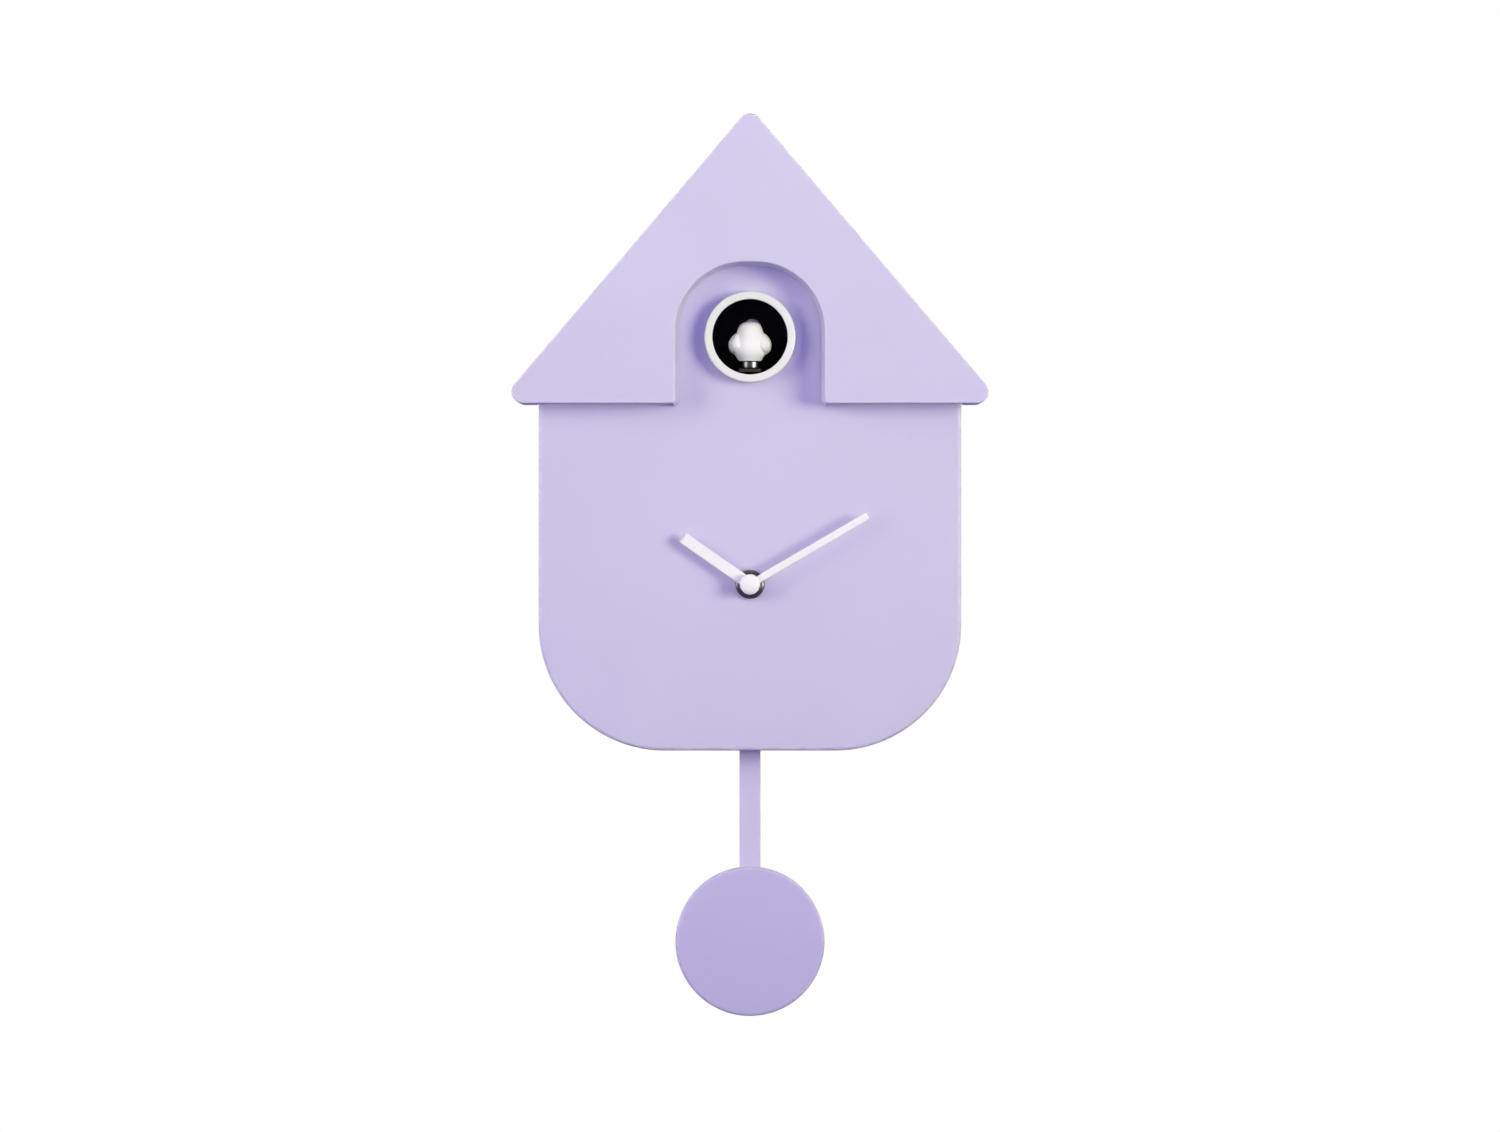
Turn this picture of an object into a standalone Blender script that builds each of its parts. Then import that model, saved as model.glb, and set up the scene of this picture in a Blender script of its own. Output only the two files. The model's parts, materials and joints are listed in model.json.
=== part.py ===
"""Wall-hung battery cuckoo clock: a house-shaped casing under a separate roof, with hands, a bird
that slides out of a round window, and a pendulum.

Row frame: +X right, +Z up, the wall is the plane y = 0 and the clock faces -Y. The origin is the
point where the wall hook bears in the hanging slot. Most pieces are drawn in the dial frame, where
x is right, y is up and z is the depth: the distance out from the wall towards the viewer.
"""

import math

import bmesh
import bpy
from mathutils import Matrix, Vector

MM = 0.001

# ---- Casing ----
ROOF_WIDTH = 215 * MM  # over the rounded eaves
ROOF_PITCH = math.radians(49.6)
ROOF_CORNER = 5.2 * MM
ROOF_DEPTH = 85 * MM
ROOF_WALL = 2.4 * MM
ROOF_RIM = 1.0 * MM  # the roof's open back stops this far from the wall
EAVE_Z = -80.3 * MM  # underside of the eaves, below the hook
EAVE_OVERHANG = 12.0 * MM
BODY_DEPTH = 68 * MM
BODY_DROP = 156.8 * MM  # eaves to the casing's bottom
BODY_CORNER = 57 * MM
BODY_WALL = 2.4 * MM
BODY_RIM = 0.6 * MM
SHOULDER_RADIUS = 3 * MM
EDGE_SOFTENING = 1.2 * MM
FIT = 0.3 * MM  # clearance between pieces that touch

# ---- Arched niche in the roof ----
NICHE_HALF = 33.7 * MM
NICHE_CORNER = 31.3 * MM
NICHE_RISE = 33.7 * MM  # from the bird window's axis to the top of the arch
NICHE_DRAFT = 0.9 * MM  # the niche narrows by this much each side on its way back

# ---- Back cover ----
COVER_THICK = 2.5 * MM
HOOK_SLOT_HALF = 2.3 * MM
HOOK_HOLE_RADIUS = 5 * MM
HOOK_SLOT_LENGTH = 11 * MM
GRILLE_SLOTS = 7
GRILLE_PITCH = 4.6 * MM
GRILLE_SLOT_WIDTH = 2.2 * MM

# ---- Screws ----
SCREW_SHANK = 1.5 * MM
SCREW_HEAD = 2.9 * MM
SCREW_HEAD_HEIGHT = 1.5 * MM
SCREW_LENGTH = 12 * MM
BOSS_RADIUS = 3.75 * MM

# ---- Bird window, bird and its drive ----
WINDOW_Z = -50.2 * MM
RING_OUTER = 20.6 * MM
RING_INNER = 17.0 * MM
RING_PROUD = 7.5 * MM
SPIGOT_WALL = 2.0 * MM
SPIGOT_LENGTH = 8.0 * MM
CHAMBER_WALL = 1.7 * MM
CHAMBER_FLANGE = 27 * MM
CHAMBER_FLANGE_THICK = 2.0 * MM
CHAMBER_BACK = 9 * MM  # depth of the chamber's closed end
CHAMBER_SLOT_HALF = 2.6 * MM
CAP_PLAY = 0.1 * MM
BIRD_TRAVEL = 20 * MM
BIRD_HALF_WIDTH = 7.8 * MM
PERCH_RADIUS = 4.9 * MM
PERCH_HEIGHT = 3.0 * MM
CARRIAGE_HALF = 5.0 * MM
CARRIAGE_THICK = 1.4 * MM
CARRIAGE_EDGE_GAP = 0.45 * MM  # between its lower edges and the bore, straight down
CARRIAGE_FRONT_SETBACK = 1.5 * MM
KEEL_HALF = 2.2 * MM
RACK_LENGTH = 30 * MM
RACK_BACK_GAP = 3 * MM  # between the chamber's closed end and the rack
RACK_MODULE = 0.8 * MM
RACK_HEIGHT = 3.6 * MM
RACK_DROP = 5.9 * MM  # from the chamber's underside to the pitch line
BIRD_PINION_TEETH = 12
BIRD_SHAFT = 1.5 * MM
GEARBOX = (9 * MM, 12 * MM, 10 * MM)  # along X, Y and Z
MOTOR_LENGTH = 15 * MM
BRACKET_THICK = 1.4 * MM

# ---- Clock movement and hands ----
ARBOR_Z = -162 * MM
MOVEMENT_HALF = 28 * MM
MOVEMENT_DEPTH = 15.8 * MM
MOVEMENT_WALL = 1.2 * MM
MOVEMENT_COVER_THICK = 3.2 * MM
BUSHING_RADIUS = 4.0 * MM
BUSHING_BORE = 2.9 * MM
BUSHING_FLANGE = 5.5 * MM
BUSHING_PROUD = 4.5 * MM
NUT_RADIUS = 6.6 * MM
NUT_THICK = 2.6 * MM
HOUR_TUBE_RADIUS = 2.6 * MM
HOUR_TUBE_BORE = 1.7 * MM
MINUTE_ARBOR_RADIUS = 1.4 * MM
WHEEL_THICK = 1.2 * MM
PINION_LENGTH = 2.0 * MM
SLOW_MODULE = 0.5 * MM  # cannon pinion, minute wheel and setting pinion
FAST_MODULE = 0.4 * MM  # minute wheel's own pinion and the hour wheel
CANNON_TEETH = 12
MINUTE_WHEEL_TEETH = 36
MINUTE_PINION_TEETH = 12
HOUR_WHEEL_TEETH = 48
SETTING_TEETH = 12
MINUTE_WHEEL_SIDE = math.radians(-30)  # direction from the arbor
SETTING_SIDE = math.radians(-60)  # direction from the minute wheel
SETTING_SHAFT = 1.25 * MM
KNOB_RADIUS = 6.5 * MM
KNOB_LENGTH = 7 * MM
SHOWN_HOUR = 10
SHOWN_MINUTE = 9.95
HOUR_HAND_LENGTH = 37.3 * MM
HOUR_HAND_WIDTH = 5.1 * MM
MINUTE_HAND_LENGTH = 62.3 * MM
MINUTE_HAND_WIDTH = 3.15 * MM
HAND_THICK = 0.8 * MM
HAND_GAP = 2.0 * MM
CAP_RADIUS = 4.6 * MM
CAP_HEIGHT = 3.0 * MM

# ---- Pendulum ----
PIVOT_ABOVE_ARBOR = 22 * MM
PIVOT_PIN = 1.0 * MM
PENDULUM_GAP = 4.5 * MM  # from the movement's back to the rod's front
SWING = math.radians(6)
ROD_WIDTH = 9.5 * MM
ROD_THICK = 2.0 * MM
ROD_TOP_DROP = 12 * MM  # from the pivot to the rod's upper end
BOB_DROP = 183.8 * MM  # from the pivot to the bob's centre
BOB_RADIUS = 33.8 * MM
BOB_THICK = 8 * MM
BOB_WALL = 1.8 * MM
HANGER_THICK = 3 * MM
MAGNET_RISE = 14 * MM
COIL_RADIUS = 6 * MM

# ---- Battery pack, sound and controls ----
CELL_RADIUS = 13.1 * MM
CELL_LENGTH = 50 * MM
CELL_COUNT = 3
CELL_SPACE = 1.0 * MM
TRAY_WALL = 1.6 * MM
CONTACT_ROOM = 4.4 * MM  # at each end of the cells
LEAF_THICK = 0.8 * MM
SPRING_WIRE = 0.45 * MM  # radius
TRAY_ABOVE_ARBOR = 8 * MM  # from the arbor to the underside of the tray
DOOR_GAP = 0.4 * MM
SPEAKER_X = -52 * MM
SPEAKER_Z = -190 * MM
SPEAKER_RADIUS = 20 * MM
SPEAKER_DEPTH = 14 * MM
SPEAKER_MAGNET_RADIUS = 10 * MM
SPEAKER_MAGNET_THICK = 6 * MM
BOARD_SIZE = (34 * MM, 46 * MM, 1.6 * MM)
SWITCH_X = 50 * MM
SWITCH_Z = -196 * MM
SWITCH_TRAVEL = 6 * MM
SWITCH_KNOB = (4 * MM, 4 * MM)
SENSOR_X = 28 * MM
SENSOR_RADIUS = 2.4 * MM

# ---- Worked out from the sizes above ----
BODY_HALF = ROOF_WIDTH / 2 - EAVE_OVERHANG
BODY_BOTTOM = EAVE_Z - BODY_DROP
FACE_INSIDE = BODY_DEPTH - BODY_WALL
HOUR_ANGLE = math.radians(30 * (SHOWN_HOUR + SHOWN_MINUTE / 60))
MINUTE_ANGLE = math.radians(6 * SHOWN_MINUTE)
MOVEMENT_FRONT = FACE_INSIDE - FIT
MOVEMENT_BACK = MOVEMENT_FRONT - MOVEMENT_DEPTH
ROD_FRONT = MOVEMENT_BACK - PENDULUM_GAP
ROD_BACK = ROD_FRONT - ROD_THICK
PIVOT_Z = ARBOR_Z + PIVOT_ABOVE_ARBOR
BOB_Z = PIVOT_Z - BOB_DROP
RACK_PITCH_Z = WINDOW_Z - RING_INNER - CHAMBER_WALL - 2 * FIT - RACK_DROP
BIRD_PINION_RADIUS = BIRD_PINION_TEETH * RACK_MODULE / 2
BIRD_PINION_Z = RACK_PITCH_Z - BIRD_PINION_RADIUS
CARRIAGE_FOOT = WINDOW_Z - math.sqrt(RING_INNER**2 - CARRIAGE_HALF**2) + CARRIAGE_EDGE_GAP
CARRIAGE_TOP = CARRIAGE_FOOT + CARRIAGE_THICK
RACK_BACK = CHAMBER_BACK + RACK_BACK_GAP
BIRD_PINION_DEPTH = RACK_BACK + RACK_LENGTH - 4 * MM

MATERIALS = {  # colour, roughness, metallic
    "casing_lilac": ((0.62, 0.55, 0.82), 0.45, 0.0),
    "pendulum_lilac": ((0.60, 0.53, 0.81), 0.45, 0.0),
    "bezel_white": ((0.88, 0.88, 0.86), 0.4, 0.0),
    "bird_white": ((0.92, 0.92, 0.92), 0.35, 0.0),
    "hand_white": ((0.93, 0.93, 0.95), 0.4, 0.0),
    "black_plastic": ((0.02, 0.02, 0.022), 0.5, 0.0),
    "dark_chrome": ((0.25, 0.25, 0.27), 0.15, 1.0),
    "steel": ((0.6, 0.6, 0.62), 0.3, 1.0),
    "brass": ((0.78, 0.62, 0.3), 0.3, 1.0),
    "gear_white": ((0.85, 0.85, 0.8), 0.4, 0.0),
    "copper": ((0.72, 0.4, 0.22), 0.35, 1.0),
    "board_green": ((0.05, 0.22, 0.1), 0.5, 0.0),
    "cell_wrap": ((0.1, 0.12, 0.16), 0.35, 0.0),
    "paper_cone": ((0.06, 0.06, 0.06), 0.9, 0.0),
    "sensor_clear": ((0.7, 0.75, 0.8), 0.1, 0.0),
}


# ---------------------------------------------------------------- scene and materials


def clear_scene():
    for obj in list(bpy.data.objects):
        bpy.data.objects.remove(obj)


def new_collection(name):
    made = bpy.data.collections.new(name)
    bpy.context.scene.collection.children.link(made)
    return made


def material(name):
    found = bpy.data.materials.get(name)
    if found:
        return found
    colour, roughness, metallic = MATERIALS[name]
    made = bpy.data.materials.new(name)
    made.use_nodes = True
    shader = made.node_tree.nodes["Principled BSDF"]
    shader.inputs["Base Color"].default_value = (*colour, 1)
    shader.inputs["Roughness"].default_value = roughness
    shader.inputs["Metallic"].default_value = metallic
    made.diffuse_color = (*colour, 1)
    return made


clear_scene()
PARTS = new_collection("cuckoo_clock")
CUTTERS = new_collection("cutters")
CUTTERS.hide_render = True

# Rotations that carry a piece's own frame into the row frame.
DIAL = Matrix(((1, 0, 0), (0, 0, -1), (0, 1, 0)))  # own z out of the wall
SIDE = Matrix(((0, 0, -1), (-1, 0, 0), (0, 1, 0)))  # own x out of the wall, own z to the left
UPRIGHT = Matrix.Identity(3)


def add(name, mesh, finish, turn=UPRIGHT, at=(0, 0, 0)):
    """Puts a mesh or curve in the scene: a part with a finish, or a cutter with none."""
    obj = bpy.data.objects.new(name, mesh)
    obj.rotation_euler = turn.to_euler()
    obj.location = at
    if finish:
        mesh.materials.append(material(finish))
        PARTS.objects.link(obj)
    else:
        CUTTERS.objects.link(obj)
        obj.hide_render = True
        obj.display_type = "WIRE"
    return obj


def in_row(x, height, depth):
    """A dial-frame point in the row frame."""
    return Vector((x, -depth, height))


def smooth(obj, angle=35):
    obj.data.shade_smooth()
    obj.data.set_sharp_from_angle(angle=math.radians(angle))
    return obj


def boolean(target, operation, *tools):
    for tool in tools:
        modifier = target.modifiers.new(f"{operation}_{tool.name}", "BOOLEAN")
        modifier.operation = operation
        modifier.object = tool
    return target


def cut(target, *tools):
    return boolean(target, "DIFFERENCE", *tools)


def join(target, *tools):
    return boolean(target, "UNION", *tools)


def soften(obj, width, segments=2, angle=50):
    bevel = obj.modifiers.new("softened_edges", "BEVEL")
    bevel.width = width
    bevel.segments = segments
    bevel.limit_method = "ANGLE"
    bevel.angle_limit = math.radians(angle)
    return obj


# ---------------------------------------------------------------- outlines


def circle(radius, count=24, centre=(0, 0)):
    return [
        (
            centre[0] + radius * math.cos(2 * math.pi * k / count),
            centre[1] + radius * math.sin(2 * math.pi * k / count),
        )
        for k in range(count)
    ]


def rectangle(left, right, low, high):
    return [(left, low), (right, low), (right, high), (left, high)]


def rounded(corners, radii, steps):
    """The closed outline through corners, each rounded by its own radius with an arc of steps."""
    points = []
    if isinstance(steps, int):
        steps = [steps] * len(corners)
    for i, (corner, radius, count) in enumerate(zip(corners, radii, steps)):
        here = Vector(corner)
        back = (Vector(corners[i - 1]) - here).normalized()
        ahead = (Vector(corners[(i + 1) % len(corners)]) - here).normalized()
        if radius <= 0:
            points.append(tuple(here))
            continue
        half = back.angle(ahead) / 2
        centre = here + (back + ahead).normalized() * radius / math.sin(half)
        start = here + back * radius / math.tan(half) - centre
        sweep = start.angle_signed(here + ahead * radius / math.tan(half) - centre)
        for k in range(count + 1):
            spoke = Matrix.Rotation(-sweep * k / count, 2) @ start
            points.append(tuple(centre + spoke))
    return points


def inset(corners, distance):
    """Corners of an anticlockwise polygon whose sides are all moved inwards by distance."""
    lines = []
    for i, corner in enumerate(corners):
        here, after = Vector(corner), Vector(corners[(i + 1) % len(corners)])
        along = (after - here).normalized()
        lines.append((here + Vector((-along.y, along.x)) * distance, along))
    moved = []
    for i in range(len(corners)):
        (p, u), (q, v) = lines[i - 1], lines[i]
        reach = ((q - p).x * v.y - (q - p).y * v.x) / (u.x * v.y - u.y * v.x)
        moved.append(tuple(p + u * reach))
    return moved


def slot(half_length, half_width, centre=(0, 0), steps=6):
    """A round-ended slot lying along x."""
    x, y = centre
    corners = rectangle(x - half_length, x + half_length, y - half_width, y + half_width)
    return rounded(corners, [half_width * 0.999] * 4, steps)


def gear(teeth, module, phase=0.0):
    """An involute gear's outline, with one tooth's middle at the angle phase."""
    pressure = math.radians(20)
    pitch, base = teeth * module / 2, teeth * module / 2 * math.cos(pressure)
    tip, root = pitch + 0.75 * module, pitch - 1.15 * module
    slack = 0.16 * module
    thick_angle = (math.pi * module / 2 - slack) / (2 * pitch)
    involute = math.tan(pressure) - pressure

    def half_angle(radius):
        turn = math.acos(min(1, base / radius))
        return thick_angle + involute - (math.tan(turn) - turn)

    radii = [max(root, base), pitch, tip]
    flank = [(root, half_angle(base))] * (root < base) + [(r, half_angle(r)) for r in radii]
    points = []
    for k in range(teeth):
        middle = phase + 2 * math.pi * k / teeth
        for side, run in ((-1, flank), (1, flank[::-1])):
            for radius, half in run:
                angle = middle + side * half
                points.append((radius * math.cos(angle), radius * math.sin(angle)))
    return points


def phase_in_mesh(leader_teeth, leader_phase, follower_teeth, direction):
    """The phase of a gear that meshes with a leader, seen from the leader along direction."""
    leader_share = leader_teeth * (direction - leader_phase) / (2 * math.pi)
    return direction + math.pi - 2 * math.pi * (0.5 - leader_share) / follower_teeth


# ---------------------------------------------------------------- solids


def flat_curve(name, outlines, thickness):
    curve = bpy.data.curves.new(name, "CURVE")
    curve.dimensions = "2D"
    curve.fill_mode = "BOTH"
    curve.extrude = thickness / 2
    for outline in outlines:
        spline = curve.splines.new("POLY")
        spline.points.add(len(outline) - 1)
        for point, (x, y) in zip(spline.points, outline):
            point.co = (x, y, 0, 1)
        spline.use_cyclic_u = True
    return curve


def mesh_of(curve_object):
    """The curve object's shape as a welded mesh. The curve object is removed."""
    graph = bpy.context.evaluated_depsgraph_get()
    mesh = bpy.data.meshes.new_from_object(curve_object.evaluated_get(graph))
    bpy.data.objects.remove(curve_object)
    welded = bmesh.new()
    welded.from_mesh(mesh)
    bmesh.ops.remove_doubles(welded, verts=welded.verts, dist=1e-7)
    flat = math.radians(0.01)
    bmesh.ops.dissolve_limit(welded, angle_limit=flat, verts=welded.verts, edges=welded.edges)
    bmesh.ops.recalc_face_normals(welded, faces=welded.faces)
    welded.to_mesh(mesh)
    welded.free()
    return mesh


def plate(name, outlines, back, front, finish=None, at=(0, 0)):
    """Outlines in the dial frame, holes included, extruded from depth back to depth front."""
    curve = flat_curve(name, outlines, front - back)
    holder = add("flat_outline", curve, None)
    mesh = mesh_of(holder)
    mesh.materials.clear()
    return add(name, mesh, finish, DIAL, in_row(at[0], at[1], (back + front) / 2))


def side_plate(name, outline, left, right, finish=None, at=(0, 0)):
    """An outline of (depth, height), drawn out along X from left to right.

    It is one many-sided face drawn out, since filling a curve leaves slivers along a rack's roots.
    """
    mesh = bpy.data.meshes.new(name)
    shape = bmesh.new()
    face = shape.faces.new([shape.verts.new((x, y, (left - right) / 2)) for x, y in outline])
    grown = bmesh.ops.extrude_face_region(shape, geom=[face])
    far = [item for item in grown["geom"] if isinstance(item, bmesh.types.BMVert)]
    bmesh.ops.translate(shape, vec=(0, 0, right - left), verts=far)
    bmesh.ops.recalc_face_normals(shape, faces=shape.faces)
    shape.to_mesh(mesh)
    shape.free()
    return add(name, mesh, finish, SIDE, in_row((left + right) / 2, at[1], at[0]))


def turned(name, profile, finish=None, at=(0, 0), turn=DIAL, closed=False, steps=32, depth=0):
    """A profile of (radius, along) points turned about its own z. It runs down its outer side."""
    mesh = bpy.data.meshes.new(name)
    shape = bmesh.new()
    verts = [shape.verts.new((radius, 0, along)) for radius, along in profile]
    for first, second in zip(verts, verts[1:] + verts[:1] * closed):
        shape.edges.new((first, second))
    shape.to_mesh(mesh)
    shape.free()
    obj = add(name, mesh, finish, turn, in_row(at[0], at[1], depth))
    screw = obj.modifiers.new("turned", "SCREW")
    screw.steps = screw.render_steps = steps
    screw.use_merge_vertices = True
    screw.merge_threshold = 1e-6
    screw.use_smooth_shade = False
    return obj


def ring_profile(outer, inner, back, front):
    return [(outer, front), (outer, back), (inner, back), (inner, front)]


def disc_profile(radius, back, front):
    return [(0, front), (radius, front), (radius, back), (0, back)]


def cylinders(name, places, radius, back, front, finish=None, segments=20):
    """One object of several round posts that run from depth back to depth front."""
    mesh = bpy.data.meshes.new(name)
    shape = bmesh.new()
    for x, height in places:
        bmesh.ops.create_cone(
            shape,
            cap_ends=True,
            segments=segments,
            radius1=radius,
            radius2=radius,
            depth=front - back,
            matrix=Matrix.Translation((x, height, (front + back) / 2)),
        )
    shape.to_mesh(mesh)
    shape.free()
    return add(name, mesh, finish, DIAL)


def box(name, width, height, depth, finish=None):
    """A block: width, height and depth are each (low, high) in the dial frame."""
    mesh = bpy.data.meshes.new(name)
    shape = bmesh.new()
    sides = (width, height, depth)
    bmesh.ops.create_cube(shape, size=1)
    bmesh.ops.scale(shape, vec=[high - low for low, high in sides], verts=shape.verts)
    bmesh.ops.translate(shape, vec=[(low + high) / 2 for low, high in sides], verts=shape.verts)
    shape.to_mesh(mesh)
    shape.free()
    return add(name, mesh, finish, DIAL)


def ball(name, radii, centre, finish=None, across=14, around=20):
    """An ellipsoid in the row frame."""
    mesh = bpy.data.meshes.new(name)
    shape = bmesh.new()
    bmesh.ops.create_uvsphere(shape, u_segments=around, v_segments=across, radius=1)
    bmesh.ops.scale(shape, vec=radii, verts=shape.verts)
    shape.to_mesh(mesh)
    shape.free()
    return add(name, mesh, finish, UPRIGHT, centre)


def loft(name, sections):
    """A cutter between outlines with equal numbers of points, each given as (outline, depth)."""
    mesh = bpy.data.meshes.new(name)
    shape = bmesh.new()
    rows = [[shape.verts.new((x, y, depth)) for x, y in outline] for outline, depth in sections]
    for low, high in zip(rows, rows[1:]):
        for i in range(len(low)):
            shape.faces.new((low[i - 1], low[i], high[i], high[i - 1]))
    shape.faces.new(rows[0][::-1])
    shape.faces.new(rows[-1])
    bmesh.ops.recalc_face_normals(shape, faces=shape.faces)
    shape.to_mesh(mesh)
    shape.free()
    return add(name, mesh, None, DIAL)


# ---------------------------------------------------------------- casing outlines


def roof_corners():
    """The roof's sharp triangle: its rounding takes the width down to ROOF_WIDTH."""
    half = ROOF_WIDTH / 2 + ROOF_CORNER * (1 / math.tan(ROOF_PITCH / 2) - 1)
    return [(-half, EAVE_Z), (half, EAVE_Z), (0, EAVE_Z + half * math.tan(ROOF_PITCH))]


def house_corners():
    """The casing's outline, whose gable lies inside the roof with a clearance."""
    _, eave, apex = inset(roof_corners(), ROOF_WALL + FIT)
    shoulder = eave[1] + (eave[0] - BODY_HALF) * math.tan(ROOF_PITCH)
    return [
        (-BODY_HALF, BODY_BOTTOM),
        (BODY_HALF, BODY_BOTTOM),
        (BODY_HALF, shoulder),
        apex,
        (-BODY_HALF, shoulder),
    ]


def roof_outline(distance):
    radius = max(ROOF_CORNER - distance, 1 * MM)
    return rounded(inset(roof_corners(), distance), [radius] * 3, 6)


def house_outline(distance):
    low, small = BODY_CORNER - distance, max(SHOULDER_RADIUS - distance, 0.5 * MM)
    return rounded(
        inset(house_corners(), distance), [low, low, small, small, small], [12, 12, 3, 3, 3]
    )


def niche_outline(outset, low):
    """The arch, grown by outset on its sides and top, down to the height low."""
    half, top = NICHE_HALF + outset, WINDOW_Z + NICHE_RISE + outset
    corners = rectangle(-half, half, low, top)
    return rounded(corners, [0, 0, NICHE_CORNER + outset, NICHE_CORNER + outset], 14)


def roof_screw_places():
    gable = roof_corners()[2][1]
    side = (BODY_HALF + NICHE_HALF) / 2
    return [(0, gable - 40 * MM), (-side, EAVE_Z + 17 * MM), (side, EAVE_Z + 17 * MM)]


def cover_screw_places():
    low = BODY_BOTTOM + 22 * MM
    high = EAVE_Z - 15 * MM
    gable = roof_corners()[2][1]
    inner = BODY_HALF - BODY_WALL - BOSS_RADIUS - 5.4 * MM
    foot = BODY_HALF - BODY_CORNER + 11.5 * MM
    return [(-foot, low), (foot, low), (-inner, high), (inner, high), (0, gable - 28 * MM)]


def board_centre():
    return (-BODY_HALF + BODY_WALL + 5 * MM + BOARD_SIZE[0] / 2, ARBOR_Z + 37 * MM)


def board_pins():
    x, z = board_centre()
    return [(x, z - BOARD_SIZE[1] / 2 + 5 * MM), (x, z + BOARD_SIZE[1] / 2 - 5 * MM)]


# ---------------------------------------------------------------- casing


def make_body_shell():
    shell = plate("body_shell", [house_outline(0)], BODY_RIM, BODY_DEPTH, "casing_lilac")
    soften(shell, EDGE_SOFTENING)
    cut(shell, plate("body_cavity", [house_outline(BODY_WALL)], -MM, FACE_INSIDE))
    lower, rear = FACE_INSIDE + BODY_WALL / 2, COVER_THICK + FIT
    bosses = cylinders("cover_bosses", cover_screw_places(), BOSS_RADIUS, rear, lower, segments=12)
    join(shell, bosses)
    pilot = SCREW_SHANK + FIT
    pilot_end = COVER_THICK + SCREW_LENGTH + 2 * MM
    cut(shell, cylinders("cover_pilots", cover_screw_places(), pilot, 0, pilot_end, segments=8))
    board_back = MOVEMENT_FRONT - 4 * MM
    join(shell, cylinders("board_posts", board_pins(), 2.4 * MM, board_back, lower, segments=8))
    pin_back = board_back - BOARD_SIZE[2] - 1.2 * MM
    join(shell, cylinders("board_pins", board_pins(), 1 * MM, pin_back, lower, segments=8))
    beyond = BODY_DEPTH + MM
    cut(
        shell,
        cylinders("arbor_hole", [(0, ARBOR_Z)], BUSHING_RADIUS + FIT, FACE_INSIDE - MM, beyond),
        cylinders(
            "window_hole",
            [(0, WINDOW_Z)],
            RING_INNER + SPIGOT_WALL + FIT,
            FACE_INSIDE - MM,
            beyond,
            segments=32,
        ),
        cylinders(
            "roof_screw_holes",
            roof_screw_places(),
            SCREW_SHANK + FIT,
            FACE_INSIDE - MM,
            beyond,
            segments=12,
        ),
    )
    opening = pendulum_slot_half()
    floor = (BODY_BOTTOM - MM, BODY_BOTTOM + BODY_WALL + MM)
    around = (ROD_BACK - 4 * MM, ROD_FRONT + 4 * MM)
    cut(shell, box("pendulum_slot", (-opening, opening), floor, around))
    sensor = cylinders("sensor_hole", [(0, 0)], SENSOR_RADIUS + FIT, -4 * MM, 4 * MM, segments=16)
    sensor.rotation_euler = (0, 0, 0)
    sensor.location = in_row(SENSOR_X, BODY_BOTTOM, sensor_depth())
    cut(shell, sensor)
    return smooth(shell)


def pendulum_slot_half():
    """Half the slot's width: the rod's reach at the casing's bottom, and 2 mm."""
    drop = PIVOT_Z - BODY_BOTTOM
    return ROD_WIDTH / 2 + drop * math.tan(SWING) + 2 * MM


def sensor_depth():
    return BODY_DEPTH - 12 * MM


def make_roof_shell():
    roof = plate("roof_shell", [roof_outline(0)], ROOF_RIM, ROOF_DEPTH, "casing_lilac")
    soften(roof, EDGE_SOFTENING)
    plate_inside = ROOF_DEPTH - ROOF_WALL
    cut(roof, plate("roof_cavity", [roof_outline(ROOF_WALL)], -MM, plate_inside))
    seat, into_plate = BODY_DEPTH + 1.5 * FIT, ROOF_DEPTH - ROOF_WALL / 2
    base = EAVE_Z + ROOF_WALL / 4
    walls = plate("niche_walls", [niche_outline(ROOF_WALL, base)], seat, into_plate)
    bosses = cylinders("roof_bosses", roof_screw_places(), BOSS_RADIUS, seat, into_plate)
    join(roof, walls, bosses)
    low = EAVE_Z - 2 * MM
    sections = [
        (niche_outline(-NICHE_DRAFT, low), BODY_DEPTH - 2 * MM),
        (niche_outline(0, low), ROOF_DEPTH),
        (niche_outline(0, low), ROOF_DEPTH + 2 * MM),
    ]
    cut(roof, loft("niche_cutter", sections))
    clear = BODY_HALF + FIT
    notch = box(
        "body_notch",
        (-clear, clear),
        (EAVE_Z - MM, EAVE_Z + ROOF_WALL + MM),
        (-MM, BODY_DEPTH + FIT),
    )
    pilot_end = into_plate - 3 * MM
    pilots = cylinders(
        "roof_pilots",
        roof_screw_places(),
        SCREW_SHANK + FIT,
        BODY_DEPTH,
        pilot_end,
        segments=12,
    )
    cut(roof, notch, pilots)
    return smooth(roof)


def tray_box():
    """Left, right, low, high of the battery tray's outside."""
    half = CELL_COUNT * (CELL_RADIUS + CELL_SPACE / 2) + TRAY_WALL
    low = ARBOR_Z + TRAY_ABOVE_ARBOR
    return (-half, half, low, low + CELL_LENGTH + 2 * CONTACT_ROOM + 2 * TRAY_WALL)


def hook_outline():
    """The hanging slot: a round hole with a narrow slot above it that ends at the hook point."""
    hole = math.asin(HOOK_SLOT_HALF / HOOK_HOLE_RADIUS)
    points = []
    for k in range(19):
        angle = math.pi / 2 + hole + (2 * math.pi - 2 * hole) * k / 18
        x, y = math.cos(angle), math.sin(angle)
        points.append((HOOK_HOLE_RADIUS * x, HOOK_HOLE_RADIUS * y - HOOK_SLOT_LENGTH))
    for k in range(9):
        angle = math.pi * k / 8
        points.append((HOOK_SLOT_HALF * math.cos(angle), HOOK_SLOT_HALF * math.sin(angle)))
    return points


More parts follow.
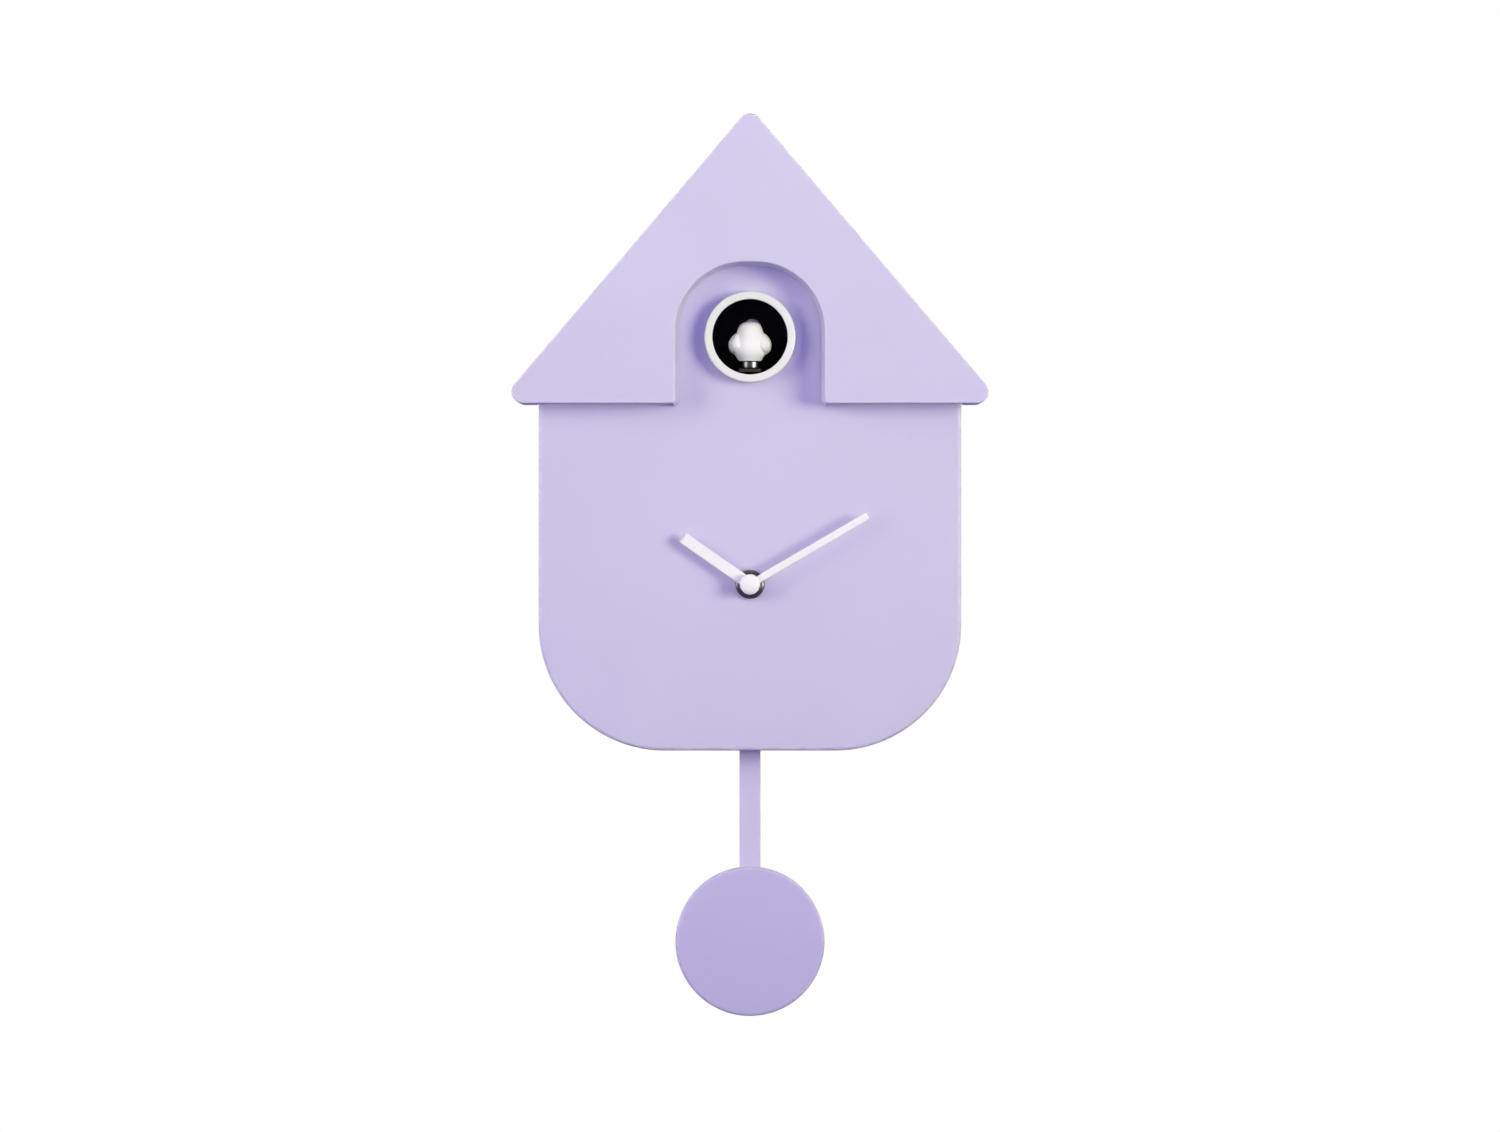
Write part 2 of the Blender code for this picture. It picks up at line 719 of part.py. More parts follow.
def setting_place():
    """The minute wheel's and the setting arbor's centres."""
    first = (CANNON_TEETH + MINUTE_WHEEL_TEETH) * SLOW_MODULE / 2
    wheel = Vector((first * math.cos(MINUTE_WHEEL_SIDE), first * math.sin(MINUTE_WHEEL_SIDE)))
    wheel.y += ARBOR_Z
    second = (MINUTE_WHEEL_TEETH + SETTING_TEETH) * SLOW_MODULE / 2
    knob = wheel + second * Vector((math.cos(SETTING_SIDE), math.sin(SETTING_SIDE)))
    return wheel, knob


def make_back_cover():
    left, right, low, high = tray_box()
    lip = TRAY_WALL
    door = rectangle(left + lip, right - lip, low + lip, high - lip)
    holes = [hook_outline(), rounded(door, [2 * MM] * 4, 4)]
    holes.append(circle(KNOB_RADIUS + 2 * FIT, 28, setting_place()[1]))
    grille = (GRILLE_SLOTS - 1) / 2
    for k in range(GRILLE_SLOTS):
        offset = (k - grille) * GRILLE_PITCH
        reach = math.sqrt((SPEAKER_RADIUS - 3 * MM) ** 2 - offset**2)
        centre = (SPEAKER_X, SPEAKER_Z + offset)
        holes.append(slot(reach, GRILLE_SLOT_WIDTH / 2, centre, steps=3))
    across = SWITCH_TRAVEL / 2 + SWITCH_KNOB[0] / 2 + 2 * FIT
    window = rectangle(-across, across, -SWITCH_KNOB[1] / 2 - FIT, SWITCH_KNOB[1] / 2 + FIT)
    holes.append([(SWITCH_X + x, SWITCH_Z + y) for x, y in window])
    outline = house_outline(BODY_WALL + FIT)
    cover = plate("back_cover", [outline, *holes], 0, COVER_THICK, "casing_lilac")
    sink = SCREW_HEAD + FIT
    for k, (x, height) in enumerate(cover_screw_places()):
        profile = [
            (0, COVER_THICK + MM),
            (SCREW_SHANK + FIT, COVER_THICK + MM),
            (SCREW_SHANK + FIT, SCREW_HEAD_HEIGHT + FIT),
            (sink, FIT),
            (sink, -MM),
            (0, -MM),
        ]
        cut(cover, turned(f"cover_sink_{k + 1}", profile, at=(x, height), steps=12))
    return smooth(cover)


def make_screw(name, x, height, head_depth):
    """A countersunk screw with its head nearest the wall and its point towards the viewer."""
    top = 0.5 * FIT
    shank = [
        (0, SCREW_LENGTH),
        (SCREW_SHANK * 0.6, SCREW_LENGTH),
        (SCREW_SHANK, SCREW_LENGTH - MM),
        (SCREW_SHANK, SCREW_HEAD_HEIGHT + top),
        (SCREW_HEAD, top + 0.3 * MM),
        (SCREW_HEAD, top),
        (0, top),
    ]
    screw = turned(name, shank, "steel", (x, height), steps=10, depth=head_depth)
    driver = box(f"{name}_recess", (-2 * MM, 2 * MM), (-0.4 * MM, 0.4 * MM), (-MM, 0.9 * MM))
    driver.location = screw.location
    driver.rotation_euler = screw.rotation_euler
    cut(screw, driver)
    return smooth(screw)


def make_screws():
    for k, (x, height) in enumerate(cover_screw_places()):
        make_screw(f"cover_screw_{k + 1}", x, height, 0)
    head_depth = FACE_INSIDE - SCREW_HEAD_HEIGHT - 2 * FIT
    for k, (x, height) in enumerate(roof_screw_places()):
        make_screw(f"roof_screw_{k + 1}", x, height, head_depth)


# ---------------------------------------------------------------- bird window and bird


def make_window_ring():
    seat, front = BODY_DEPTH + FIT, BODY_DEPTH + RING_PROUD
    spigot = RING_INNER + SPIGOT_WALL
    soft = 0.8 * MM
    profile = [
        (RING_INNER, front),
        (RING_OUTER - soft, front),
        (RING_OUTER, front - soft),
        (RING_OUTER, seat),
        (spigot, seat),
        (spigot, BODY_DEPTH - SPIGOT_LENGTH),
        (RING_INNER, BODY_DEPTH - SPIGOT_LENGTH),
    ]
    ring = turned("window_ring", profile, "bezel_white", (0, WINDOW_Z), closed=True, steps=40)
    return smooth(ring)


def make_bird_chamber():
    """A black tube behind the face with a slot for the carriage's keel, and the disc that ends it."""
    front = FACE_INSIDE - FIT
    flange_back = front - CHAMBER_FLANGE_THICK
    socket = RING_INNER + SPIGOT_WALL + FIT
    outer = RING_INNER + CHAMBER_WALL
    shoulder = BODY_DEPTH - SPIGOT_LENGTH - FIT
    profile = [
        (socket, front),
        (CHAMBER_FLANGE, front),
        (CHAMBER_FLANGE, flange_back),
        (socket + CHAMBER_WALL, flange_back),
        (socket + CHAMBER_WALL, shoulder - CHAMBER_WALL),
        (outer, shoulder - CHAMBER_WALL),
        (outer, CHAMBER_BACK - CHAMBER_WALL),
        (RING_INNER, CHAMBER_BACK - CHAMBER_WALL),
        (RING_INNER, shoulder),
        (socket, shoulder),
    ]
    tube = turned("bird_chamber", profile, "black_plastic", (0, WINDOW_Z), closed=True, steps=28)
    keel_slot = box(
        "keel_slot",
        (-CHAMBER_SLOT_HALF, CHAMBER_SLOT_HALF),
        (WINDOW_Z - socket - 2 * CHAMBER_WALL, WINDOW_Z - RING_INNER / 2),
        (CHAMBER_BACK + FIT, shoulder - 2 * CHAMBER_WALL),
    )
    smooth(cut(tube, keel_slot))
    end = disc_profile(RING_INNER - CAP_PLAY, CHAMBER_BACK - CHAMBER_WALL, CHAMBER_BACK)
    smooth(turned("chamber_cap", end, "black_plastic", (0, WINDOW_Z), steps=28))


def bird_depth():
    """Depth of the perch's axis when the bird is in."""
    return BODY_DEPTH - 2 * MM


def make_bird():
    foot = CARRIAGE_TOP + PERCH_HEIGHT + 2 * FIT
    profile = [  # (radius, height above the foot) of the round body and head
        (0, 17.7),
        (2.4, 17.2),
        (4.2, 15.6),
        (5.1, 13.2),
        (6.6, 10.8),
        (7.7, 7.6),
        (7.8, 4.8),
        (6.9, 2.4),
        (5.4, 0),
        (0, 0),
    ]
    widest = max(r for r, h in profile)
    points = [(r / widest * BIRD_HALF_WIDTH, h * MM) for r, h in profile]
    bird = turned("bird", points, "bird_white", turn=UPRIGHT, steps=24)
    bird.location = in_row(0, foot, bird_depth())
    centre = bird.location
    wings = [
        ball(
            f"wing_{'left' if side < 0 else 'right'}",
            (3.4 * MM, 7 * MM, 5.2 * MM),
            centre + Vector((side * (BIRD_HALF_WIDTH - 1.5 * MM), 1.5 * MM, 7.6 * MM)),
            across=10,
            around=14,
        )
        for side in (-1, 1)
    ]
    beak_mesh = bpy.data.meshes.new("beak")
    shape = bmesh.new()
    bmesh.ops.create_cone(
        shape, cap_ends=True, segments=10, radius1=2.1 * MM, radius2=0.2 * MM, depth=6 * MM
    )
    shape.to_mesh(beak_mesh)
    shape.free()
    beak = add("beak", beak_mesh, None, DIAL, centre + Vector((0, -6 * MM, 12.2 * MM)))
    tail = ball(
        "tail",
        (3.2 * MM, 9 * MM, 1.8 * MM),
        centre + Vector((0, 9 * MM, 5.5 * MM)),
        across=8,
        around=12,
    )
    join(bird, *wings, beak, tail)
    return smooth(bird)


def make_perch():
    low, high = CARRIAGE_TOP + FIT, CARRIAGE_TOP + FIT + PERCH_HEIGHT
    profile = disc_profile(PERCH_RADIUS, 0, high - low)
    perch = turned("bird_perch", profile, "dark_chrome", turn=UPRIGHT, steps=24)
    perch.location = in_row(0, low, bird_depth())
    return smooth(perch)


def rack_outline():
    """Keel and rack seen from the side as (depth, height): teeth point down."""
    root = RACK_PITCH_Z + 1.15 * RACK_MODULE
    tip = RACK_PITCH_Z - 0.75 * RACK_MODULE
    back, front = RACK_BACK, RACK_BACK + RACK_LENGTH
    pitch = math.pi * RACK_MODULE
    lean = math.tan(math.radians(20))
    points = [(front, root)]
    phase_tooth = BIRD_PINION_DEPTH  # a tooth's middle stands over the pinion's axis
    count = int((front - back) / pitch)
    teeth = [phase_tooth + k * pitch for k in range(count, -count - 1, -1)]
    slack = 0.16 * RACK_MODULE
    for middle in teeth:
        half_pitch = pitch / 4 - slack / 2
        at_root = half_pitch + (root - RACK_PITCH_Z) * lean
        at_tip = half_pitch - (RACK_PITCH_Z - tip) * lean
        if middle + at_root < front - 0.2 * MM and middle - at_root > back + 0.2 * MM:
            points += [
                (middle + at_root, root),
                (middle + at_tip, tip),
                (middle - at_tip, tip),
                (middle - at_root, root),
            ]
    spine = RACK_PITCH_Z + RACK_HEIGHT
    keel_top = CARRIAGE_TOP - CARRIAGE_THICK / 2
    keel_front = front - 6 * MM
    keel_back = back + 3 * MM
    points += [
        (back, root),
        (back, spine),
        (keel_back, spine),
        (keel_back, keel_top),
        (keel_front, keel_top),
        (keel_front, spine),
        (front, spine),
    ]
    return points


def make_carriage():
    front = BODY_DEPTH + RING_PROUD - CARRIAGE_FRONT_SETBACK
    width = (-CARRIAGE_HALF, CARRIAGE_HALF)
    height = (CARRIAGE_TOP - CARRIAGE_THICK, CARRIAGE_TOP)
    floor = box("bird_carriage", width, height, (RACK_BACK + 2 * MM, front), "black_plastic")
    return join(floor, side_plate("bird_rack", rack_outline(), -KEEL_HALF, KEEL_HALF))


def make_bird_drive():
    mesh_gap = math.pi / BIRD_PINION_TEETH  # a gap, not a tooth, points up at the rack
    outline = gear(BIRD_PINION_TEETH, RACK_MODULE, math.pi / 2 + mesh_gap)
    at = (BIRD_PINION_DEPTH, BIRD_PINION_Z)
    pinion = side_plate("bird_pinion", outline, -KEEL_HALF, KEEL_HALF, "gear_white", at)
    gearbox_left = KEEL_HALF + 5 * MM
    reach = gearbox_left + 3 * MM + KEEL_HALF
    centre = (gearbox_left + 3 * MM - KEEL_HALF) / 2
    shaft = side_plate(
        "bird_shaft", circle(BIRD_SHAFT, 10), centre - reach / 2, centre + reach / 2, None, at
    )
    join(pinion, shaft)
    half_deep, half_high = GEARBOX[1] / 2, GEARBOX[2] / 2
    depth = (BIRD_PINION_DEPTH - half_deep, BIRD_PINION_DEPTH + half_deep)
    height = (BIRD_PINION_Z - half_high, BIRD_PINION_Z + half_high)
    gearbox_right = gearbox_left + GEARBOX[0]
    gearbox = box("bird_gearbox", (gearbox_left, gearbox_right), height, depth, "brass")
    bore = side_plate(
        "gearbox_bore",
        circle(BIRD_SHAFT + FIT, 12),
        gearbox_left - MM,
        gearbox_left + 3 * MM + 2 * FIT,
        None,
        at,
    )
    cut(gearbox, bore)
    motor_left = gearbox_right + FIT
    corners = rectangle(-half_deep, half_deep, -half_high, half_high)
    motor = side_plate(
        "bird_motor",
        rounded(corners, [3 * MM] * 4, 4),
        motor_left,
        motor_left + MOTOR_LENGTH,
        "steel",
        at,
    )
    smooth(motor)
    shelf_top = height[0] - FIT
    shelf = shelf_top - BRACKET_THICK
    foot_front = FACE_INSIDE - FIT
    foot_back = foot_front - BRACKET_THICK
    angle = [
        (depth[0], shelf),
        (foot_back, shelf),
        (foot_back, shelf - 8 * MM),
        (foot_front, shelf - 8 * MM),
        (foot_front, shelf_top),
        (depth[0], shelf_top),
    ]
    right = motor_left + MOTOR_LENGTH
    side_plate("motor_bracket", angle, gearbox_left, right, "steel")


# ---------------------------------------------------------------- clock movement and hands


def make_movement_case():
    half = MOVEMENT_HALF
    corners = rectangle(-half, half, -half, half)
    seam = MOVEMENT_BACK + MOVEMENT_COVER_THICK
    outline = [rounded(corners, [4 * MM] * 4, 4)]
    case = plate("movement_case", outline, seam + FIT, MOVEMENT_FRONT, "black_plastic", (0, ARBOR_Z))
    cavity = rounded(inset(corners, MOVEMENT_WALL), [3 * MM] * 4, 4)
    inside = MOVEMENT_FRONT - MOVEMENT_WALL
    at = (0, ARBOR_Z)
    cut(case, plate("movement_cavity", [cavity], seam - MM, inside, None, at))
    hole = circle(BUSHING_RADIUS + FIT, 24)
    cut(case, plate("movement_hole", [hole], inside - MM, MOVEMENT_FRONT + MM, None, at))
    smooth(case)
    knob = setting_place()[1] - Vector(at)
    pin = (0, PIVOT_ABOVE_ARBOR)
    holes = [circle(SETTING_SHAFT + FIT, 16, knob), circle(PIVOT_PIN + FIT / 2, 12, pin)]
    outlines = [rounded(corners, [4 * MM] * 4, 4), *holes]
    cover = plate("movement_cover", outlines, MOVEMENT_BACK, seam, "black_plastic", at)
    smooth(cover)


def hand_levels():
    """Depth of the back of the hour hand and of the minute hand."""
    hour = BODY_DEPTH + FIT + BUSHING_PROUD + MM
    return hour, hour + HAND_THICK + HAND_GAP


def wheel_levels():
    """Depth of the backs of the slow gears and of the hour wheel."""
    hour_wheel = MOVEMENT_FRONT - MOVEMENT_WALL - 2.7 * MM
    return hour_wheel - 3.4 * MM, hour_wheel


def make_bushing():
    inside = MOVEMENT_FRONT - MOVEMENT_WALL - FIT
    back, front = inside - 0.8 * MM, BODY_DEPTH + FIT + BUSHING_PROUD
    profile = [
        (BUSHING_BORE, front),
        (BUSHING_RADIUS - 0.4 * MM, front),
        (BUSHING_RADIUS, front - 0.4 * MM),
        (BUSHING_RADIUS, inside),
        (BUSHING_FLANGE, inside),
        (BUSHING_FLANGE, back),
        (BUSHING_BORE, back),
    ]
    smooth(turned("movement_bushing", profile, "brass", (0, ARBOR_Z), closed=True, steps=16))
    back = BODY_DEPTH + FIT
    soft = 0.9 * MM
    profile = [
        (BUSHING_RADIUS + FIT, back + NUT_THICK),
        (NUT_RADIUS - soft, back + NUT_THICK),
        (NUT_RADIUS, back + NUT_THICK - soft),
        (NUT_RADIUS, back),
        (BUSHING_RADIUS + FIT, back),
    ]
    smooth(turned("hand_nut", profile, "dark_chrome", (0, ARBOR_Z), closed=True, steps=24))


def make_motion_work():
    """Cannon pinion, minute wheel, hour wheel and setting arbor, in mesh at rest."""
    slow, fast = wheel_levels()
    wheel, knob = setting_place()
    arbor = (0, ARBOR_Z)
    hour_hand, minute_hand = hand_levels()
    cannon = plate(
        "minute_arbor",
        [gear(CANNON_TEETH, SLOW_MODULE)],
        slow - 0.4 * MM,
        slow - 0.4 * MM + PINION_LENGTH,
        "steel",
        arbor,
    )
    tip = minute_hand + HAND_THICK + MM
    pivot = MOVEMENT_BACK + MOVEMENT_COVER_THICK + FIT
    staff = cylinders("minute_staff", [arbor], MINUTE_ARBOR_RADIUS, pivot, tip, segments=12)
    smooth(join(cannon, staff))
    phase = phase_in_mesh(CANNON_TEETH, 0, MINUTE_WHEEL_TEETH, MINUTE_WHEEL_SIDE)
    teeth = gear(MINUTE_WHEEL_TEETH, SLOW_MODULE, phase)
    minute_wheel = plate("minute_wheel", [teeth], slow, slow + WHEEL_THICK, "gear_white", wheel)
    leaves = gear(MINUTE_PINION_TEETH, FAST_MODULE, phase)
    front = fast + WHEEL_THICK + 0.3 * MM
    pinion = plate("minute_pinion", [leaves], slow + WHEEL_THICK / 2, front, None, wheel)
    ends = (pivot, MOVEMENT_FRONT - MOVEMENT_WALL - FIT)
    pin = cylinders("minute_wheel_pin", [tuple(wheel)], 0.8 * MM, *ends, segments=8)
    smooth(join(minute_wheel, pinion, pin))
    seen_from_pinion = MINUTE_WHEEL_SIDE + math.pi
    phase_hour = phase_in_mesh(MINUTE_PINION_TEETH, phase, HOUR_WHEEL_TEETH, seen_from_pinion)
    teeth = gear(HOUR_WHEEL_TEETH, FAST_MODULE, phase_hour)
    bore = circle(HOUR_TUBE_BORE, 20)
    hour_wheel = plate(
        "hour_wheel", [teeth, bore], fast, fast + WHEEL_THICK, "gear_white", arbor
    )
    tube_end = hour_hand + HAND_THICK + 0.4 * MM
    outlines = [circle(HOUR_TUBE_RADIUS, 20), bore]
    tube = plate("hour_tube", outlines, fast + WHEEL_THICK / 2, tube_end, None, arbor)
    smooth(join(hour_wheel, tube))
    phase_setting = phase_in_mesh(MINUTE_WHEEL_TEETH, phase, SETTING_TEETH, SETTING_SIDE)
    leaves = gear(SETTING_TEETH, SLOW_MODULE, phase_setting)
    level = slow - 0.4 * MM
    setting = plate(
        "setting_arbor", [leaves], level, level + PINION_LENGTH, "gear_white", knob
    )
    rear = FIT + KNOB_LENGTH / 2
    shaft = cylinders("setting_shaft", [tuple(knob)], SETTING_SHAFT, rear, level + MM, segments=10)
    smooth(join(setting, shaft))


def make_setting_knob():
    knob = setting_place()[1]
    back, front = 2 * FIT, 2 * FIT + KNOB_LENGTH
    teeth = 16
    grip = [
        (
            (KNOB_RADIUS - (k % 2) * 0.5 * MM) * math.cos(math.pi * k / teeth),
            (KNOB_RADIUS - (k % 2) * 0.5 * MM) * math.sin(math.pi * k / teeth),
        )
        for k in range(2 * teeth)
    ]
    turner = plate("setting_knob", [grip], back, front, "black_plastic", knob)
    blind = cylinders(
        "knob_bore", [tuple(knob)], SETTING_SHAFT + FIT, KNOB_LENGTH / 2, front + MM, segments=16
    )
    return smooth(cut(turner, blind))


def hand_outline(length, width, hub, bore, angle):
    """A straight hand with a round hub, pointing at angle clockwise from twelve, with its bore."""
    half = width / 2
    start = math.asin(half / hub)
    count = 16
    points = [(-half, length), (-half, math.sqrt(hub**2 - half**2))]
    for k in range(1, count):
        turn = math.pi / 2 + start + (2 * math.pi - 2 * start) * k / count
        points.append((hub * math.cos(turn), hub * math.sin(turn)))
    points += [(half, math.sqrt(hub**2 - half**2)), (half, length)]
    spin = Matrix.Rotation(-angle, 2)
    return [tuple(spin @ Vector(p)) for p in points], circle(bore, 20)


def make_hands():
    hour, minute = hand_levels()
    at = (0, ARBOR_Z)
    outlines = hand_outline(
        HOUR_HAND_LENGTH, HOUR_HAND_WIDTH, 4.3 * MM, HOUR_TUBE_RADIUS + FIT, HOUR_ANGLE
    )
    plate("hour_hand", outlines, hour, hour + HAND_THICK, "hand_white", at)
    outlines = hand_outline(
        MINUTE_HAND_LENGTH,
        MINUTE_HAND_WIDTH,
        4.0 * MM,
        MINUTE_ARBOR_RADIUS + FIT,
        MINUTE_ANGLE,
    )
    plate("minute_hand", outlines, minute, minute + HAND_THICK, "hand_white", at)
    back = minute + HAND_THICK + FIT
    bore = MINUTE_ARBOR_RADIUS + FIT
    profile = [(0, back + CAP_HEIGHT)]
    for k in range(1, 6):
        angle = math.pi / 2 * k / 5
        rise = back + CAP_HEIGHT - 1.6 * MM * (1 - math.cos(angle))
        profile.append((CAP_RADIUS * math.sin(angle), rise))
    profile += [(CAP_RADIUS, back), (bore, back), (bore, back + 1.3 * MM), (0, back + 1.3 * MM)]
    smooth(turned("hand_cap", profile, "hand_white", at, steps=24))


def make_step_motor():
    """Coil, stator and quartz board inside the movement."""
    sheet = 0.8 * MM
    back = MOVEMENT_BACK + MOVEMENT_COVER_THICK + FIT
    front = back + sheet
    radius = 3.4 * MM
    x = -MOVEMENT_HALF + 8 * MM
    profile = disc_profile(radius, -12 * MM, 12 * MM)
    coil = turned("step_coil", profile, "copper", turn=UPRIGHT, steps=16)
    coil.location = in_row(x, ARBOR_Z, front + FIT + radius)
    smooth(coil)
    spine, reach = 4.5 * MM, 9 * MM
    inner, outer = 15 * MM, 20 * MM
    outline = [
        (x - spine, ARBOR_Z - outer),
        (x + reach, ARBOR_Z - outer),
        (x + reach, ARBOR_Z - inner),
        (x + spine, ARBOR_Z - inner),
        (x + spine, ARBOR_Z + inner),
        (x + reach, ARBOR_Z + inner),
        (x + reach, ARBOR_Z + outer),
        (x - spine, ARBOR_Z + outer),
    ]
    plate("step_stator", [outline], back, front, "steel")
    low, high = ARBOR_Z + 13 * MM, ARBOR_Z + 20 * MM
    outline = rectangle(-6 * MM, MOVEMENT_HALF - 4 * MM, low, high)
    plate("quartz_board", [outline], back, front, "board_green")


# ---------------------------------------------------------------- pendulum


def make_pendulum_hanger():
    """A lever on the pivot pin: a magnet on its upper arm and the rod's stud on its lower arm."""
    back = ROD_BACK - FIT - HANGER_THICK
    at = (0, PIVOT_Z)
    stud_drop = ROD_TOP_DROP + 6 * MM
    hub = 4 * MM
    arm = 3 * MM
    corners = [
        (-arm, -stud_drop - arm),
        (arm, -stud_drop - arm),
        (hub, 0),
        (arm, MAGNET_RISE),
        (-arm, MAGNET_RISE),
        (-hub, 0),
    ]
    radii = [2.5 * MM, 2.5 * MM, 3 * MM, 2.5 * MM, 2.5 * MM, 3 * MM]
    bore = circle(PIVOT_PIN + 0.1 * MM, 16)
    outlines = [rounded(corners, radii, 3), bore]
    hanger = plate("pendulum_hanger", outlines, back, back + HANGER_THICK, "black_plastic", at)
    into = back + HANGER_THICK / 2
    stud = cylinders(
        "rod_stud",
        [(0, PIVOT_Z - stud_drop)],
        1.5 * MM,
        into,
        ROD_FRONT + MM,
        segments=14,
    )
    join(hanger, stud)
    smooth(hanger)
    front = MOVEMENT_BACK + MOVEMENT_COVER_THICK - MM
    pin = turned(
        "pivot_pin", disc_profile(PIVOT_PIN, back - MM, front), "steel", at, steps=14
    )
    smooth(pin)
    magnet = turned(
        "hanger_magnet",
        disc_profile(3.4 * MM, back + HANGER_THICK + FIT, ROD_FRONT + 0.6 * MM),
        "steel",
        (0, PIVOT_Z + MAGNET_RISE - 2 * MM),
        steps=20,
    )
    smooth(magnet)
    coil = turned(
        "drive_coil",
        ring_profile(COIL_RADIUS, 2 * MM, MOVEMENT_BACK - 2.6 * MM, MOVEMENT_BACK - FIT),
        "copper",
        (0, PIVOT_Z + MAGNET_RISE - 2 * MM),
        closed=True,
        steps=24,
    )
    smooth(coil)


def bob_levels():
    """Depth of the bob's back and front, with the rod in its middle."""
    front = (ROD_FRONT + ROD_BACK) / 2 + BOB_THICK / 2 + 0.5 * MM
    return front - BOB_THICK, front


def make_pendulum():
    drop = BOB_DROP + BOB_RADIUS / 3
    half = ROD_WIDTH / 2
    corners = rectangle(-half, half, -drop, -ROD_TOP_DROP)
    stud_hole = circle(1.5 * MM + FIT, 14, (0, -ROD_TOP_DROP - 6 * MM))
    at = (0, PIVOT_Z)
    outlines = [rounded(corners, [MM, MM, 2 * MM, 2 * MM], 3), stud_hole]
    rod = plate("pendulum_rod", outlines, ROD_BACK, ROD_FRONT, "pendulum_lilac", at)
    smooth(rod)
    back, front = bob_levels()
    inside = front - BOB_WALL
    soft = 0.9 * MM
    profile = [
        (0, front),
        (BOB_RADIUS - soft, front),
        (BOB_RADIUS, front - soft),
        (BOB_RADIUS, back),
        (BOB_RADIUS - BOB_WALL, back),
        (BOB_RADIUS - BOB_WALL, inside),
        (0, inside),
    ]
    bob = turned("pendulum_bob", profile, "pendulum_lilac", (0, BOB_Z), steps=48)
    mouth = box(
        "bob_mouth",
        (-half - FIT, half + FIT),
        (BOB_Z + BOB_RADIUS / 2, BOB_Z + BOB_RADIUS + MM),
        (back - MM, ROD_FRONT + FIT),
    )
    smooth(cut(bob, mouth))
    weight = disc_profile(BOB_RADIUS * 0.75, ROD_FRONT + FIT, inside - FIT)
    smooth(turned("bob_weight", weight, "steel", (0, BOB_Z), steps=32))
    lid_back = back + 0.2 * MM
    lid = disc_profile(BOB_RADIUS - BOB_WALL - FIT, lid_back, ROD_BACK - FIT)
    smooth(turned("bob_lid", lid, "pendulum_lilac", (0, BOB_Z), steps=36))


# ---------------------------------------------------------------- battery pack


def cell_centres():
    pitch = 2 * CELL_RADIUS + CELL_SPACE
    first = -(CELL_COUNT - 1) / 2
    return [(first + k) * pitch for k in range(CELL_COUNT)]


def cell_depth():
    return COVER_THICK + 3 * MM + CELL_RADIUS


def make_battery_tray():
    left, right, low, high = tray_box()
    rear = COVER_THICK + FIT
    front = cell_depth() + CELL_RADIUS + FIT + TRAY_WALL
    tray = box("battery_tray", (left, right), (low, high), (rear, front), "black_plastic")
    wall = TRAY_WALL
    inside = ((left + wall, right - wall), (low + wall, high - wall), (-MM, front - wall))
    cut(tray, box("tray_cavity", *inside))


def cell_ends():
    """The lowest and highest points of the cells."""
    _, _, low, high = tray_box()
    return (low + high - CELL_LENGTH) / 2, (low + high + CELL_LENGTH) / 2


def make_cells():
    foot, head = cell_ends()
    for k, x in enumerate(cell_centres()):
        crimp = 0.8 * MM
        shoulder = CELL_LENGTH - 1.5 * MM
        profile = [
            (0, CELL_LENGTH),
            (2.8 * MM, CELL_LENGTH),
            (2.8 * MM, shoulder),
            (CELL_RADIUS - crimp, shoulder),
            (CELL_RADIUS, shoulder - crimp),
            (CELL_RADIUS, crimp),
            (CELL_RADIUS - crimp, 0),
            (0, 0),
        ]
        cell = turned(f"battery_cell_{k + 1}", profile, "cell_wrap", turn=UPRIGHT, steps=20)
        cell.location = in_row(x, foot, cell_depth())
        if k % 2:
            cell.rotation_euler = (math.pi, 0, 0)
            cell.location = in_row(x, head, cell_depth())
        smooth(cell)


def contact_leaf(name, left, right, low):
    """A contact strip lying across the tray from left to right, with its underside at low."""
    depth = (cell_depth() - 5 * MM, cell_depth() + 5 * MM)
    return box(name, (left, right), (low, low + LEAF_THICK), depth, "steel")


def contact_spring(x, low, high):
    """A coiled cone of wire between two heights, wide at its low end, to be joined to a leaf."""
    name = f"spring_{len(bpy.data.curves)}"
    curve = bpy.data.curves.new(name, "CURVE")
    curve.dimensions = "3D"
    curve.bevel_depth = SPRING_WIRE
    curve.bevel_resolution = 1
    curve.use_fill_caps = True
    turns, steps_each = 2.5, 8
    count = int(turns * steps_each)
    spline = curve.splines.new("POLY")
    spline.points.add(count)
    for i, point in enumerate(spline.points):
        share = i / count
        radius = (5.2 - 2.2 * share) * MM
        angle = 2 * math.pi * turns * share
        climb = low + (high - low) * share
        point.co = (radius * math.cos(angle), radius * math.sin(angle), climb, 1)
    return add(name, mesh_of(add(name, curve, None)), None, UPRIGHT, in_row(x, 0, cell_depth()))


def make_contacts():
    """The cells stand head to tail, so two leaves each bridge a button and a spring."""
    _, _, low, high = tray_box()
    first, second, third = cell_centres()
    half = 6 * MM
    floor, ceiling = low + TRAY_WALL + FIT, high - TRAY_WALL - FIT - LEAF_THICK
    foot, head = cell_ends()
    sunk = LEAF_THICK / 2 + SPRING_WIRE / 2
    wire = SPRING_WIRE + FIT
    contact_leaf("contact_positive", first - half, first + half, ceiling)
    top = contact_leaf("contact_bridge_top", second - half, third + half, ceiling)
    join(top, contact_spring(second, ceiling + LEAF_THICK - sunk, head + wire))
    bottom = contact_leaf("contact_bridge_bottom", first - half, second + half, floor)
    join(bottom, contact_spring(first, floor + sunk, foot - wire))
    last = contact_leaf("contact_negative", third - half, third + half, floor)
    join(last, contact_spring(third, floor + sunk, foot - wire))


